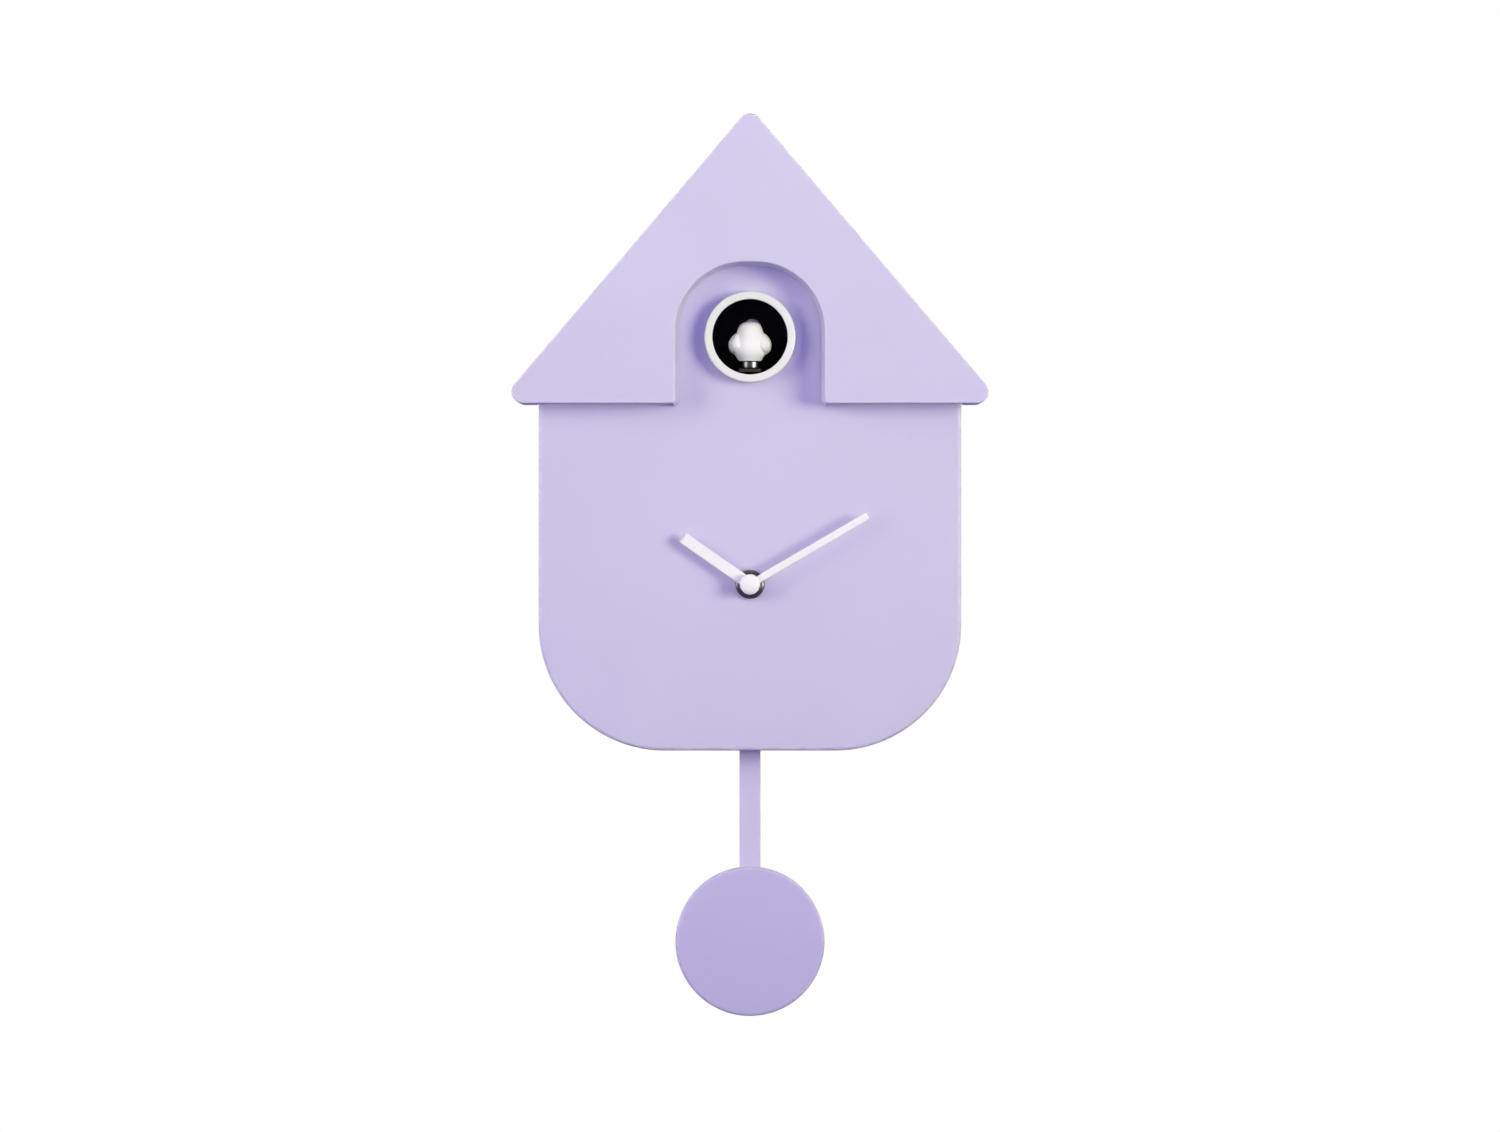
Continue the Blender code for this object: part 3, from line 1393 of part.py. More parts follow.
def make_battery_door():
    left, right, low, high = tray_box()
    gap = TRAY_WALL + DOOR_GAP
    corners = rectangle(left + gap, right - gap, low + gap, high - gap)
    outline = rounded(corners, [2 * MM - DOOR_GAP] * 4, 4)
    door = plate("battery_door", [outline], 0.2 * MM, COVER_THICK, "casing_lilac")
    middle = (left + right) / 2
    finger = box(
        "door_finger_recess",
        (middle - 9 * MM, middle + 9 * MM),
        (high - gap - 8 * MM, high - gap - 3 * MM),
        (-MM, 1.4 * MM),
    )
    cut(door, finger)


# ---------------------------------------------------------------- sound and controls


def make_speaker():
    rim = COVER_THICK + FIT
    neck = rim + SPEAKER_DEPTH
    skin = 1.0 * MM
    inner = SPEAKER_MAGNET_RADIUS - MM
    profile = [
        (SPEAKER_RADIUS - 2.4 * MM, rim + skin),
        (inner, neck - skin),
        (inner, neck),
        (inner + 2 * MM, neck),
        (SPEAKER_RADIUS - MM, rim + 1.6 * MM),
        (SPEAKER_RADIUS, rim + 1.6 * MM),
        (SPEAKER_RADIUS, rim),
        (SPEAKER_RADIUS - 2.4 * MM, rim),
    ]
    at = (SPEAKER_X, SPEAKER_Z)
    smooth(turned("speaker_basket", profile, "steel", at, closed=True, steps=24))
    cone_edge = SPEAKER_RADIUS - 2.4 * MM - FIT
    profile = [
        (0, rim + 7.4 * MM),
        (4 * MM, rim + 7.4 * MM),
        (cone_edge - 3 * MM, rim + 1.4 * MM),
        (cone_edge, rim + 1.0 * MM),
        (cone_edge, rim + 0.4 * MM),
        (cone_edge - 3.4 * MM, rim + 0.6 * MM),
        (4.4 * MM, rim + 6.2 * MM),
        (0, rim + 5.2 * MM),
    ]
    smooth(turned("speaker_cone", profile, "paper_cone", at, steps=20))
    back = neck + FIT
    profile = disc_profile(SPEAKER_MAGNET_RADIUS, back, back + SPEAKER_MAGNET_THICK)
    smooth(turned("speaker_magnet", profile, "steel", at, steps=24))


def make_sound_board():
    x, z = board_centre()
    half_x, half_z = BOARD_SIZE[0] / 2, BOARD_SIZE[1] / 2
    front = MOVEMENT_FRONT - 4 * MM - FIT
    outlines = [rectangle(x - half_x, x + half_x, z - half_z, z + half_z)]
    outlines += [circle(MM + FIT, 10, pin) for pin in board_pins()]
    plate("sound_board", outlines, front - BOARD_SIZE[2], front, "board_green")


def make_mode_switch():
    """A slider that moves in a window of the back cover, and the housing behind it."""
    across, high = SWITCH_KNOB[0] / 2, SWITCH_KNOB[1] / 2
    rest = SWITCH_X - SWITCH_TRAVEL / 2
    collar = COVER_THICK + FIT
    plate(
        "mode_switch",
        [rectangle(-across, across, -high, high)],
        2 * FIT,
        collar + 2 * MM,
        "black_plastic",
        (rest, SWITCH_Z),
    )
    foot = collar + 2 * MM
    half_x = SWITCH_TRAVEL / 2 + across + 3 * MM
    body = box(
        "switch_housing",
        (SWITCH_X - half_x, SWITCH_X + half_x),
        (SWITCH_Z - high - 2 * MM, SWITCH_Z + high + 2 * MM),
        (collar, foot + 5 * MM),
        "steel",
    )
    slack = 2 * FIT
    reach = SWITCH_TRAVEL / 2 + across + slack
    channel = box(
        "switch_channel",
        (SWITCH_X - reach, SWITCH_X + reach),
        (SWITCH_Z - high - FIT, SWITCH_Z + high + FIT),
        (collar - MM, foot + 2 * FIT),
    )
    cut(body, channel)


def make_light_sensor():
    """A clear bead in the casing's bottom that tells night from day."""
    profile = [(0, 5.6 * MM), (SENSOR_RADIUS + MM, 5.6 * MM), (SENSOR_RADIUS + MM, BODY_WALL + FIT)]
    profile.append((SENSOR_RADIUS, BODY_WALL + FIT))
    for k in range(5):
        angle = math.pi / 2 * k / 4
        sag = 0.7 * MM * math.sin(angle)
        profile.append((SENSOR_RADIUS * math.cos(angle), 0.9 * MM - sag))
    sensor = turned("light_sensor", profile, "sensor_clear", turn=UPRIGHT, steps=16)
    sensor.location = in_row(SENSOR_X, BODY_BOTTOM, sensor_depth())
    smooth(sensor)


make_body_shell()
make_roof_shell()
make_back_cover()
make_screws()
make_window_ring()
make_bird_chamber()
make_bird()
make_perch()
make_carriage()
make_bird_drive()
make_movement_case()
make_bushing()
make_motion_work()
make_setting_knob()
make_hands()
make_step_motor()
make_pendulum_hanger()
make_pendulum()
make_battery_tray()
make_cells()
make_contacts()
make_battery_door()
make_speaker()
make_sound_board()
make_mode_switch()
make_light_sensor()
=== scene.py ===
"""The looks of a wall-hung cuckoo clock: lilac moulded casing and roof, white window ring and bird,
white hands and a lilac disc pendulum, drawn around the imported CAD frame.

Row frame in metres: +X right, +Z up, the wall is y = 0 and the clock faces -Y. A shape seen from the
front is worked out in the dial frame: x to the right, z up and the depth out from the wall.
"""

import json
import math

import bmesh
import bpy
import numpy as np
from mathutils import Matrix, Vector


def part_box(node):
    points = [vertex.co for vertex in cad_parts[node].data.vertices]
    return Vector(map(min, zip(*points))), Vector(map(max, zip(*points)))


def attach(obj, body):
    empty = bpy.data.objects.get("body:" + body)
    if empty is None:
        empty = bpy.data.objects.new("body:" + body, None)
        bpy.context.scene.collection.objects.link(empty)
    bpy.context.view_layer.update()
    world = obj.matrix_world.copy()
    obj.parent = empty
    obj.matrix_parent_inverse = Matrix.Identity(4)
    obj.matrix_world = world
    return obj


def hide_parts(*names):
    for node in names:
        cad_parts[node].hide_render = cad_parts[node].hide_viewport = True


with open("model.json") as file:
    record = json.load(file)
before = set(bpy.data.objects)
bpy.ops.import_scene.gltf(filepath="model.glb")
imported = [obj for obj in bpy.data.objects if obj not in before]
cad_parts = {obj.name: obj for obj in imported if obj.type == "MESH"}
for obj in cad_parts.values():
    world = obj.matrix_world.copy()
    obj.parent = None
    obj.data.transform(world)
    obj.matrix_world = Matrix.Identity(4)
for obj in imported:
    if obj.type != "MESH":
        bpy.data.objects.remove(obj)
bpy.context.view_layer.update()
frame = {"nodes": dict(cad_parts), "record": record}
MM = 0.001

# ---------------------------------------------------------------- places read from the frame, and sizes


def span(node, axis):
    """Lowest and highest value of a CAD node along an axis."""
    low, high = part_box(node)
    return low[axis], high[axis]


def middle(node, axis):
    return sum(span(node, axis)) / 2


X, Y, Z = 0, 1, 2
FACE = -span("body_shell", Y)[0]
BODY_RIM = -span("body_shell", Y)[1]
BODY_HALF = span("body_shell", X)[1]
BODY_BOTTOM = span("body_shell", Z)[0]
ROOF_FRONT = -span("roof_shell", Y)[0]
ROOF_RIM = -span("roof_shell", Y)[1]
ROOF_HALF = span("roof_shell", X)[1]
EAVE = span("roof_shell", Z)[0]
WINDOW = middle("window_ring", Z)
ARBOR = middle("hand_nut", Z)
BOB = middle("pendulum_bob", Z)
PITCH = math.radians(49.6)
ROOF_CORNER = 5.2 * MM
ROOF_WALL = 2.4 * MM
BODY_WALL = 2.4 * MM
BODY_CORNER = 57 * MM
NICHE_HALF = 33.7 * MM
NICHE_CORNER = 31.3 * MM
NICHE_TOP = WINDOW + NICHE_HALF
NICHE_DRAFT = 1.6 * MM
ROOF_EDGE = 0.7 * MM
BODY_EDGE = 1.8 * MM
RING_NECK = 19.0 * MM
FIT = 0.3 * MM


# ---------------------------------------------------------------- meshes from arrays


def place(x, z, depth):
    """Dial-frame coordinates as row-frame points, stacked on the last axis."""
    x, z, depth = np.broadcast_arrays(x, z, depth)
    return np.stack([x, -depth, z], axis=-1)


def quads_between(rows, columns, wrap_rows, wrap_columns):
    """Corner numbers of the quads of a grid, with either direction closed on itself."""
    r = np.arange(rows if wrap_rows else rows - 1)[:, None]
    c = np.arange(columns if wrap_columns else columns - 1)[None, :]
    r2, c2 = (r + 1) % rows, (c + 1) % columns
    corners = [r * columns + c, r * columns + c2, r2 * columns + c2, r2 * columns + c]
    return np.stack([np.broadcast_to(k, (r.size, c.size)) for k in corners], axis=-1).reshape(-1, 4)


def mesh_piece(name, points, faces, **values):
    """An object of these points and faces, merged, closed at its poles and facing outwards."""
    mesh = bpy.data.meshes.new(name)
    mesh.from_pydata(points.reshape(-1, 3).tolist(), [], [list(map(int, f)) for f in faces])
    for key, value in values.items():
        layer = mesh.attributes.new(key, "FLOAT", "POINT")
        layer.data.foreach_set("value", np.asarray(value, np.float32).reshape(-1))
    shape = bmesh.new()
    shape.from_mesh(mesh)
    bmesh.ops.remove_doubles(shape, verts=shape.verts, dist=2e-7)
    bmesh.ops.dissolve_degenerate(shape, edges=shape.edges, dist=1e-7)
    bmesh.ops.recalc_face_normals(shape, faces=shape.faces)
    shape.to_mesh(mesh)
    shape.free()
    obj = bpy.data.objects.new(name, mesh)
    bpy.context.scene.collection.objects.link(obj)
    return obj


def grid_piece(name, points, wrap_rows=False, wrap_columns=True, **values):
    """A piece from a grid of points, rows by columns."""
    rows, columns = points.shape[:2]
    faces = quads_between(rows, columns, wrap_rows, wrap_columns)
    return mesh_piece(name, points, faces, **values)


def capped_piece(name, points, **values):
    """A piece from closed rings of points, with a flat face over the first ring and the last."""
    rows, columns = points.shape[:2]
    faces = quads_between(rows, columns, False, True).tolist()
    faces += [list(range(columns)), list(range((rows - 1) * columns, rows * columns))]
    return mesh_piece(name, points, faces, **values)


def finished(obj, body, slot, look, *nodes, angle=40):
    """Gives a piece its material, smooth shading, its body and the CAD nodes it stands for."""
    obj.data.materials.clear()
    obj.data.materials.append(look)
    obj.data.shade_smooth()
    obj.data.set_sharp_from_angle(angle=math.radians(angle))
    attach(obj, body)
    if nodes:
        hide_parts(*nodes)
    return obj


def baked(obj):
    """The object's mesh with its modifiers worked in."""
    graph = bpy.context.evaluated_depsgraph_get()
    mesh = bpy.data.meshes.new_from_object(obj.evaluated_get(graph))
    obj.modifiers.clear()
    obj.data = mesh
    return obj


def carved(obj, *cutters):
    """Cuts the cutters' solids out of a piece."""
    for cutter in cutters:
        cut = obj.modifiers.new(cutter.name, "BOOLEAN")
        cut.operation = "DIFFERENCE"
        cut.object = cutter
    baked(obj)
    for cutter in cutters:
        bpy.data.objects.remove(cutter)
    return obj


# ---------------------------------------------------------------- outlines


def rounded_outline(corners, radii, inset=0.0, arc=24, straight=24):
    """Points along a closed anticlockwise outline, drawn in by an inset.

    The inset moves each corner along its bisector by inset over the sine of half the corner's angle,
    takes it off the radius of an outward corner and adds it to a hollow one. Each corner is an arc
    that touches both of its sides, and between two arcs the points are spaced evenly on the side, so
    the same outline at any inset has the same number of points.
    """
    corners = np.asarray(corners, float)
    ahead = np.roll(corners, -1, 0) - corners
    ahead /= np.linalg.norm(ahead, axis=1, keepdims=True)
    back = -np.roll(ahead, 1, 0)
    arcs = []
    for here, b, a, radius in zip(corners, back, ahead, radii):
        half = np.arccos(np.clip(b @ a, -1, 1)) / 2
        outward = np.sign(a[0] * b[1] - a[1] * b[0])
        bisector = (a + b) / np.linalg.norm(a + b)
        spot = here + bisector * inset * outward / np.sin(half)
        drawn = max(radius - inset * outward, 0.05 * MM)
        reach = drawn / np.tan(half)
        centre = spot + bisector * drawn / np.sin(half)
        first, last = spot + b * reach - centre, spot + a * reach - centre
        sweep = np.arctan2(first[0] * last[1] - first[1] * last[0], first @ last)
        turn = np.linspace(0, sweep, arc)[:, None]
        arcs.append(centre + first * np.cos(turn) + np.array([-first[1], first[0]]) * np.sin(turn))
    share = np.linspace(0, 1, straight + 2)[1:-1, None]
    runs = []
    for here, after in zip(arcs, [*arcs[1:], arcs[0]]):
        runs += [here, here[-1] * (1 - share) + after[0] * share]
    return np.concatenate(runs)


def rounding(radius, steps):
    """Inset and setback along a quarter-round edge, from the flat front to the straight side."""
    turn = np.linspace(0, np.pi / 2, steps)
    return radius * (1 - np.sin(turn)), radius * (1 - np.cos(turn))


def roof_corners():
    half = ROOF_HALF + ROOF_CORNER * (1 / math.tan(PITCH / 2) - 1)
    return [(-half, EAVE), (half, EAVE), (0, EAVE + half * math.tan(PITCH))]


def notched_roof_corners():
    """The roof's triangle with the niche cut up into it from the eaves."""
    left, right, apex = roof_corners()
    return [
        left,
        (-NICHE_HALF, EAVE),
        (-NICHE_HALF, NICHE_TOP),
        (NICHE_HALF, NICHE_TOP),
        (NICHE_HALF, EAVE),
        right,
        apex,
    ]


def house_corners():
    """The casing's outline: straight sides, a gable just inside the roof, big lower corners."""
    gap = ROOF_WALL + FIT
    peak = roof_corners()[2][1]
    apex = peak - gap / math.cos(PITCH)
    shoulder = apex - BODY_HALF * math.tan(PITCH)
    return [
        (-BODY_HALF, BODY_BOTTOM),
        (BODY_HALF, BODY_BOTTOM),
        (BODY_HALF, shoulder),
        (0, apex),
        (-BODY_HALF, shoulder),
    ]


# ---------------------------------------------------------------- materials


def new_material(name):
    look = bpy.data.materials.new(name)
    look.use_nodes = True
    tree = look.node_tree
    shader = tree.nodes["Principled BSDF"]
    return look, tree, shader


def new_group(name, inputs, outputs):
    """A shader node group with its own sockets. Returns the tree and its input and output nodes."""
    tree = bpy.data.node_groups.new(name, "ShaderNodeTree")
    for label, kind, value in inputs:
        socket = tree.interface.new_socket(name=label, in_out="INPUT", socket_type=kind)
        if value is not None:
            socket.default_value = value
    for label, kind in outputs:
        tree.interface.new_socket(name=label, in_out="OUTPUT", socket_type=kind)
    return tree, tree.nodes.new("NodeGroupInput"), tree.nodes.new("NodeGroupOutput")


def noise(tree, vector, scale, detail=3.0, roughness=0.55):
    node = tree.nodes.new("ShaderNodeTexNoise")
    node.inputs["Detail"].default_value = detail
    node.inputs["Roughness"].default_value = roughness
    if isinstance(scale, (int, float)):
        node.inputs["Scale"].default_value = scale
    else:
        tree.links.new(scale, node.inputs["Scale"])
    tree.links.new(vector, node.inputs["Vector"])
    return node.outputs["Fac"]


def math_node(tree, operation, first, second):
    node = tree.nodes.new("ShaderNodeMath")
    node.operation = operation
    for socket, value in zip(node.inputs, (first, second)):
        if isinstance(value, (int, float)):
            socket.default_value = value
        else:
            tree.links.new(value, socket)
    return node.outputs[0]


def spread(tree, value, low, high, to_low, to_high):
    """value, mapped from low..high to to_low..to_high and clamped."""
    node = tree.nodes.new("ShaderNodeMapRange")
    tree.links.new(value, node.inputs["Value"])
    for label, number in (
        ("From Min", low),
        ("From Max", high),
        ("To Min", to_low),
        ("To Max", to_high),
    ):
        if isinstance(number, (int, float)):
            node.inputs[label].default_value = number
        else:
            tree.links.new(number, node.inputs[label])
    return node.outputs["Result"]


def blend_colour(tree, factor, first, second):
    node = tree.nodes.new("ShaderNodeMix")
    node.data_type = "RGBA"
    for socket, value in ((node.inputs[0], factor), (node.inputs[6], first), (node.inputs[7], second)):
        if isinstance(value, (int, float)):
            socket.default_value = value
        elif isinstance(value, tuple):
            socket.default_value = (*value, 1)
        else:
            tree.links.new(value, socket)
    return node.outputs[2]


def make_moulded_skin():
    """Spark-eroded mould texture with a slow mottle and a painted highlight on rounded edges.

    Height is fine noise over medium noise. Colour leans from the deep tone to the pale tone with a
    slow noise, and to the third colour where the mask input is high: a painted highlight on rounded
    edges, broken up by the medium noise. Roughness follows the medium noise.
    """
    tree, given, made = new_group(
        "moulded_skin",
        [
            ("Vector", "NodeSocketVector", None),
            ("Deep", "NodeSocketColor", (0.5, 0.5, 0.5, 1)),
            ("Pale", "NodeSocketColor", (0.6, 0.6, 0.6, 1)),
            # These two sockets carry a painted highlight for rounded edges: its colour and its mask.
            ("Highlight Colour", "NodeSocketColor", (0.8, 0.8, 0.8, 1)),
            ("Edge Highlight", "NodeSocketFloat", 0.0),
            ("Grain Scale", "NodeSocketFloat", 2400.0),
            ("Smoothest", "NodeSocketFloat", 0.4),
            ("Roughest", "NodeSocketFloat", 0.5),
        ],
        [
            ("Colour", "NodeSocketColor"),
            ("Roughness", "NodeSocketFloat"),
            ("Height", "NodeSocketFloat"),
        ],
    )
    vector = given.outputs["Vector"]
    mottle = noise(tree, vector, 14.0, 2.0)
    fine = noise(tree, vector, given.outputs["Grain Scale"], 2.0)
    medium_scale = math_node(tree, "MULTIPLY", given.outputs["Grain Scale"], 0.12)
    medium = noise(tree, vector, medium_scale, 3.0)
    toned = blend_colour(
        tree,
        spread(tree, mottle, 0.35, 0.65, 0.0, 1.0),
        given.outputs["Deep"],
        given.outputs["Pale"],
    )
    # Painted highlight: rounded edges lean towards the paler colour by the mask, broken up by the medium
    # noise.
    highlight_share = math_node(tree, "MULTIPLY", given.outputs["Edge Highlight"], spread(tree, medium, 0.4, 0.6, 0.35, 1.0))
    colour = blend_colour(tree, highlight_share, toned, given.outputs["Highlight Colour"])
    roughness = spread(
        tree, medium, 0.35, 0.65, given.outputs["Smoothest"], given.outputs["Roughest"]
    )
    height = math_node(tree, "ADD", fine, math_node(tree, "MULTIPLY", medium, 0.6))
    tree.links.new(colour, made.inputs["Colour"])
    tree.links.new(roughness, made.inputs["Roughness"])
    tree.links.new(height, made.inputs["Height"])
    return tree


def make_turned_metal():
    """Metal with fine scratches along X and smudges: noise in thin bands, and slower noise."""
    tree, given, made = new_group(
        "turned_metal",
        [
            ("Vector", "NodeSocketVector", None),
            ("Dark", "NodeSocketColor", (0.3, 0.3, 0.3, 1)),
            ("Bright", "NodeSocketColor", (0.6, 0.6, 0.6, 1)),
            ("Band Scale", "NodeSocketFloat", 900.0),
            ("Smoothest", "NodeSocketFloat", 0.15),
            ("Roughest", "NodeSocketFloat", 0.35),
        ],
        [
            ("Colour", "NodeSocketColor"),
            ("Roughness", "NodeSocketFloat"),
            ("Height", "NodeSocketFloat"),
        ],
    )
    vector = given.outputs["Vector"]
    stretch = tree.nodes.new("ShaderNodeVectorMath")
    stretch.operation = "MULTIPLY"
    stretch.inputs[1].default_value = (0.12, 1.0, 1.0)
    tree.links.new(vector, stretch.inputs[0])
    bands = noise(tree, stretch.outputs[0], given.outputs["Band Scale"], 4.0, 0.7)
    smudge = noise(tree, vector, 160.0, 3.0)
    colour = blend_colour(
        tree,
        spread(tree, smudge, 0.3, 0.7, 0.0, 1.0),
        given.outputs["Dark"],
        given.outputs["Bright"],
    )
    half_bands = math_node(tree, "MULTIPLY", bands, 0.5)
    half_smudge = math_node(tree, "MULTIPLY", smudge, 0.5)
    wear = math_node(tree, "ADD", half_bands, half_smudge)
    roughness = spread(tree, wear, 0.35, 0.65, given.outputs["Smoothest"], given.outputs["Roughest"])
    tree.links.new(colour, made.inputs["Colour"])
    tree.links.new(roughness, made.inputs["Roughness"])
    tree.links.new(bands, made.inputs["Height"])
    return tree


MOULDED_SKIN = make_moulded_skin()
TURNED_METAL = make_turned_metal()


def use_group(tree, group, vector, values):
    node = tree.nodes.new("ShaderNodeGroup")
    node.node_tree = group
    tree.links.new(vector, node.inputs["Vector"])
    for label, value in values.items():
        if isinstance(value, tuple):
            node.inputs[label].default_value = (*value, 1)
        elif isinstance(value, (int, float)):
            node.inputs[label].default_value = value
        else:
            tree.links.new(value, node.inputs[label])
    return node


def object_vector(tree):
    return tree.nodes.new("ShaderNodeTexCoord").outputs["Object"]


def bump(tree, shader, height, distance):
    node = tree.nodes.new("ShaderNodeBump")
    node.inputs["Distance"].default_value = distance
    node.inputs["Strength"].default_value = 1.0
    tree.links.new(height, node.inputs["Height"])
    tree.links.new(node.outputs["Normal"], shader.inputs["Normal"])


def plastic(name, deep, pale, rubbed, smoothest, roughest, relief=0.01 * MM, specular=0.5, rub=False):
    """Moulded plastic with mould texture, a slow mottle and, when asked, a painted highlight that makes
    rounded edges paler.
    """
    look, tree, shader = new_material(name)
    values = {
        "Deep": deep,
        "Pale": pale,
        "Highlight Colour": rubbed,
        "Smoothest": smoothest,
        "Roughest": roughest,
    }
    # The mesh's mask along rounded edges drives the painted highlight.
    if rub:
        edge = tree.nodes.new("ShaderNodeAttribute")
        edge.attribute_name = "rub"
        values["Edge Highlight"] = edge.outputs["Fac"]
    skin = use_group(tree, MOULDED_SKIN, object_vector(tree), values)
    tree.links.new(skin.outputs["Colour"], shader.inputs["Base Color"])
    tree.links.new(skin.outputs["Roughness"], shader.inputs["Roughness"])
    shader.inputs["Specular IOR Level"].default_value = specular
    bump(tree, shader, skin.outputs["Height"], relief)
    return look


def metal(name, dark, bright, smoothest, roughest, bands=900.0, relief=0.004 * MM):
    look, tree, shader = new_material(name)
    shader.inputs["Metallic"].default_value = 1.0
    values = {
        "Dark": dark,
        "Bright": bright,
        "Band Scale": bands,
        "Smoothest": smoothest,
        "Roughest": roughest,
    }
    skin = use_group(tree, TURNED_METAL, object_vector(tree), values)
    tree.links.new(skin.outputs["Colour"], shader.inputs["Base Color"])
    tree.links.new(skin.outputs["Roughness"], shader.inputs["Roughness"])
    bump(tree, shader, skin.outputs["Height"], relief)
    return look


LOOKS = {
    "casing_lilac": plastic(
        "casing_lilac",
        (0.630, 0.607, 0.810),
        (0.646, 0.623, 0.825),
        # painted highlight colour for the casing's rounded edges
        (0.90, 0.88, 0.99),
        0.42,
        0.5,
        rub=True,
        specular=0.4,
    ),
    # The pendulum's lilac is the casing's lilac painted a little darker and bluer: painted shade for the
    # bob hanging lower, in less light. Its third colour is a painted highlight for the bob's rim.
    "pendulum_lilac": plastic(
        "pendulum_lilac",
        (0.600, 0.560, 0.840),
        (0.615, 0.575, 0.855),
        (0.90, 0.87, 0.99),
        0.36,
        0.44,
        rub=True,
        specular=0.4,
    ),
    # The rod's lilac is the pendulum's painted lighter: painted light that makes up for the shade the
    # casing casts on the rod.
    "rod_lilac_painted_lighter": plastic(
        "rod_lilac_painted_lighter", (0.695, 0.660, 0.890), (0.710, 0.675, 0.905), (0.8, 0.78, 0.93), 0.36, 0.44,
        specular=0.4,
    ),
    "bezel_white": plastic(
        "bezel_white", (0.81, 0.84, 0.80), (0.84, 0.87, 0.83), (0.9, 0.9, 0.9), 0.34, 0.42
    ),
    "bird_white": plastic(
        "bird_white", (0.90, 0.92, 0.90), (0.92, 0.94, 0.92), (0.97, 0.97, 0.97), 0.6, 0.7, specular=0.25
    ),
    "hand_white": plastic(
        "hand_white", (0.94, 0.94, 0.94), (0.96, 0.96, 0.96), (0.97, 0.97, 0.97), 0.35, 0.45
    ),
    "black_plastic": plastic(
        "black_plastic", (0.010, 0.010, 0.011), (0.016, 0.016, 0.017), (0.06, 0.06, 0.06), 0.45, 0.6
    ),
    "chamber_black": plastic(
        "chamber_black", (0.0020, 0.0020, 0.0012), (0.0036, 0.0034, 0.0020), (0.02, 0.02, 0.02),
        0.7, 0.85, specular=0.08,
    ),
    "dark_chrome": metal(
        "dark_chrome", (0.12, 0.12, 0.165), (0.18, 0.18, 0.245), 0.2, 0.3, relief=0.001 * MM
    ),
    "steel": metal("steel", (0.50, 0.50, 0.52), (0.66, 0.66, 0.68), 0.2, 0.4),
    "brass": metal("brass", (0.62, 0.46, 0.18), (0.80, 0.62, 0.28), 0.18, 0.36),
    "gear_white": plastic(
        "gear_white", (0.76, 0.75, 0.68), (0.82, 0.81, 0.75), (0.9, 0.9, 0.86), 0.35, 0.5
    ),
    "copper": metal("copper", (0.50, 0.20, 0.08), (0.72, 0.36, 0.18), 0.2, 0.4, bands=2600.0,
                    relief=0.05 * MM),
    "board_green": plastic(
        "board_green", (0.02, 0.14, 0.06), (0.03, 0.20, 0.09), (0.2, 0.4, 0.2), 0.3, 0.5
    ),
    "cell_wrap": plastic(
        "cell_wrap", (0.03, 0.035, 0.05), (0.05, 0.055, 0.08), (0.3, 0.3, 0.3), 0.25, 0.35
    ),
    "paper_cone": plastic(
        "paper_cone", (0.02, 0.02, 0.02), (0.045, 0.045, 0.045), (0.1, 0.1, 0.1), 0.8, 0.95,
        relief=0.05 * MM
    ),
    "sensor_clear": plastic(
        "sensor_clear", (0.55, 0.62, 0.68), (0.62, 0.68, 0.74), (0.8, 0.8, 0.8), 0.06, 0.12,
        relief=0.001 * MM
    ),
}


def dress_cad_nodes():
    """Each CAD node gets the finish of its material slot."""
    slots = {part["node"]: part["material_slot"] for part in frame["record"]["subparts"]}
    for name, node in frame["nodes"].items():
        node.data.materials.clear()
        node.data.materials.append(LOOKS[slots[name]])


# ---------------------------------------------------------------- roof


def make_roof():
    """The notched triangle's front, rolled over its edge, drawn back, and hollow from behind.

    Outer rows run from the flat front over a quarter-round to the side and back to each point's own
    depth: the wall for the slopes and outer eaves, and just clear of the face where the casing
    stands. The inner rows are the same outline drawn in by the wall thickness, the other way
    round. The niche narrows towards the back by its draft.
    """
    mouth = 1.6 * MM
    deepest = 4.6 * MM
    radii = [ROOF_CORNER, mouth, NICHE_CORNER, NICHE_CORNER, mouth, ROOF_CORNER, ROOF_CORNER]

    def outline(inset):
        return rounded_outline(notched_roof_corners(), radii, inset, arc=32, straight=48)

    edge = outline(0)
    flat = edge[:, 1] < EAVE + 1e-6
    niche = (np.abs(edge[:, 0]) < NICHE_HALF + MM) & (edge[:, 1] < NICHE_TOP + MM) & ~flat
    over_face = niche | (flat & (np.abs(edge[:, 0]) < BODY_HALF + FIT))
    back = np.where(over_face, FACE + 1.5 * FIT, ROOF_RIM)
    inset, setback = rounding(ROOF_EDGE, 7)
    rows = [flat_ring(outline(i), ROOF_FRONT) for i in (deepest, 1.5 * MM)]
    rows += [flat_ring(outline(i), ROOF_FRONT - s) for i, s in zip(inset, setback)]
    draft = outline(-NICHE_DRAFT) - edge
    for share in np.linspace(0, 1, 7)[1:]:
        depth = (ROOF_FRONT - setback[-1]) * (1 - share) + back * share
        rows.append(flat_ring(edge + draft * (share * niche)[:, None], depth))
    inner = outline(ROOF_WALL)
    for share in np.linspace(1, 0, 5):
        depth = (ROOF_FRONT - ROOF_WALL) * (1 - share) + back * share
        rows.append(flat_ring(inner + draft * (share * niche)[:, None], depth))
    rows.append(flat_ring(outline(deepest), ROOF_FRONT - ROOF_WALL))
    points = np.stack(rows)
    # Mask for a painted highlight along the front edge's rounding, strongest half-way round.
    rub = np.zeros(points.shape[:2])
    rub[2 : 2 + len(inset)] = np.sin(np.linspace(0, np.pi, len(inset)))[:, None] * 0.5
    roof = capped_piece("roof", points, rub=rub)
    return finished(roof, "casing", "casing_lilac", LOOKS["casing_lilac"], "roof_shell")


def flat_ring(outline, depth):
    """An outline's points at one depth, or each at its own."""
    return place(outline[:, 0], outline[:, 1], depth)


# ---------------------------------------------------------------- casing body


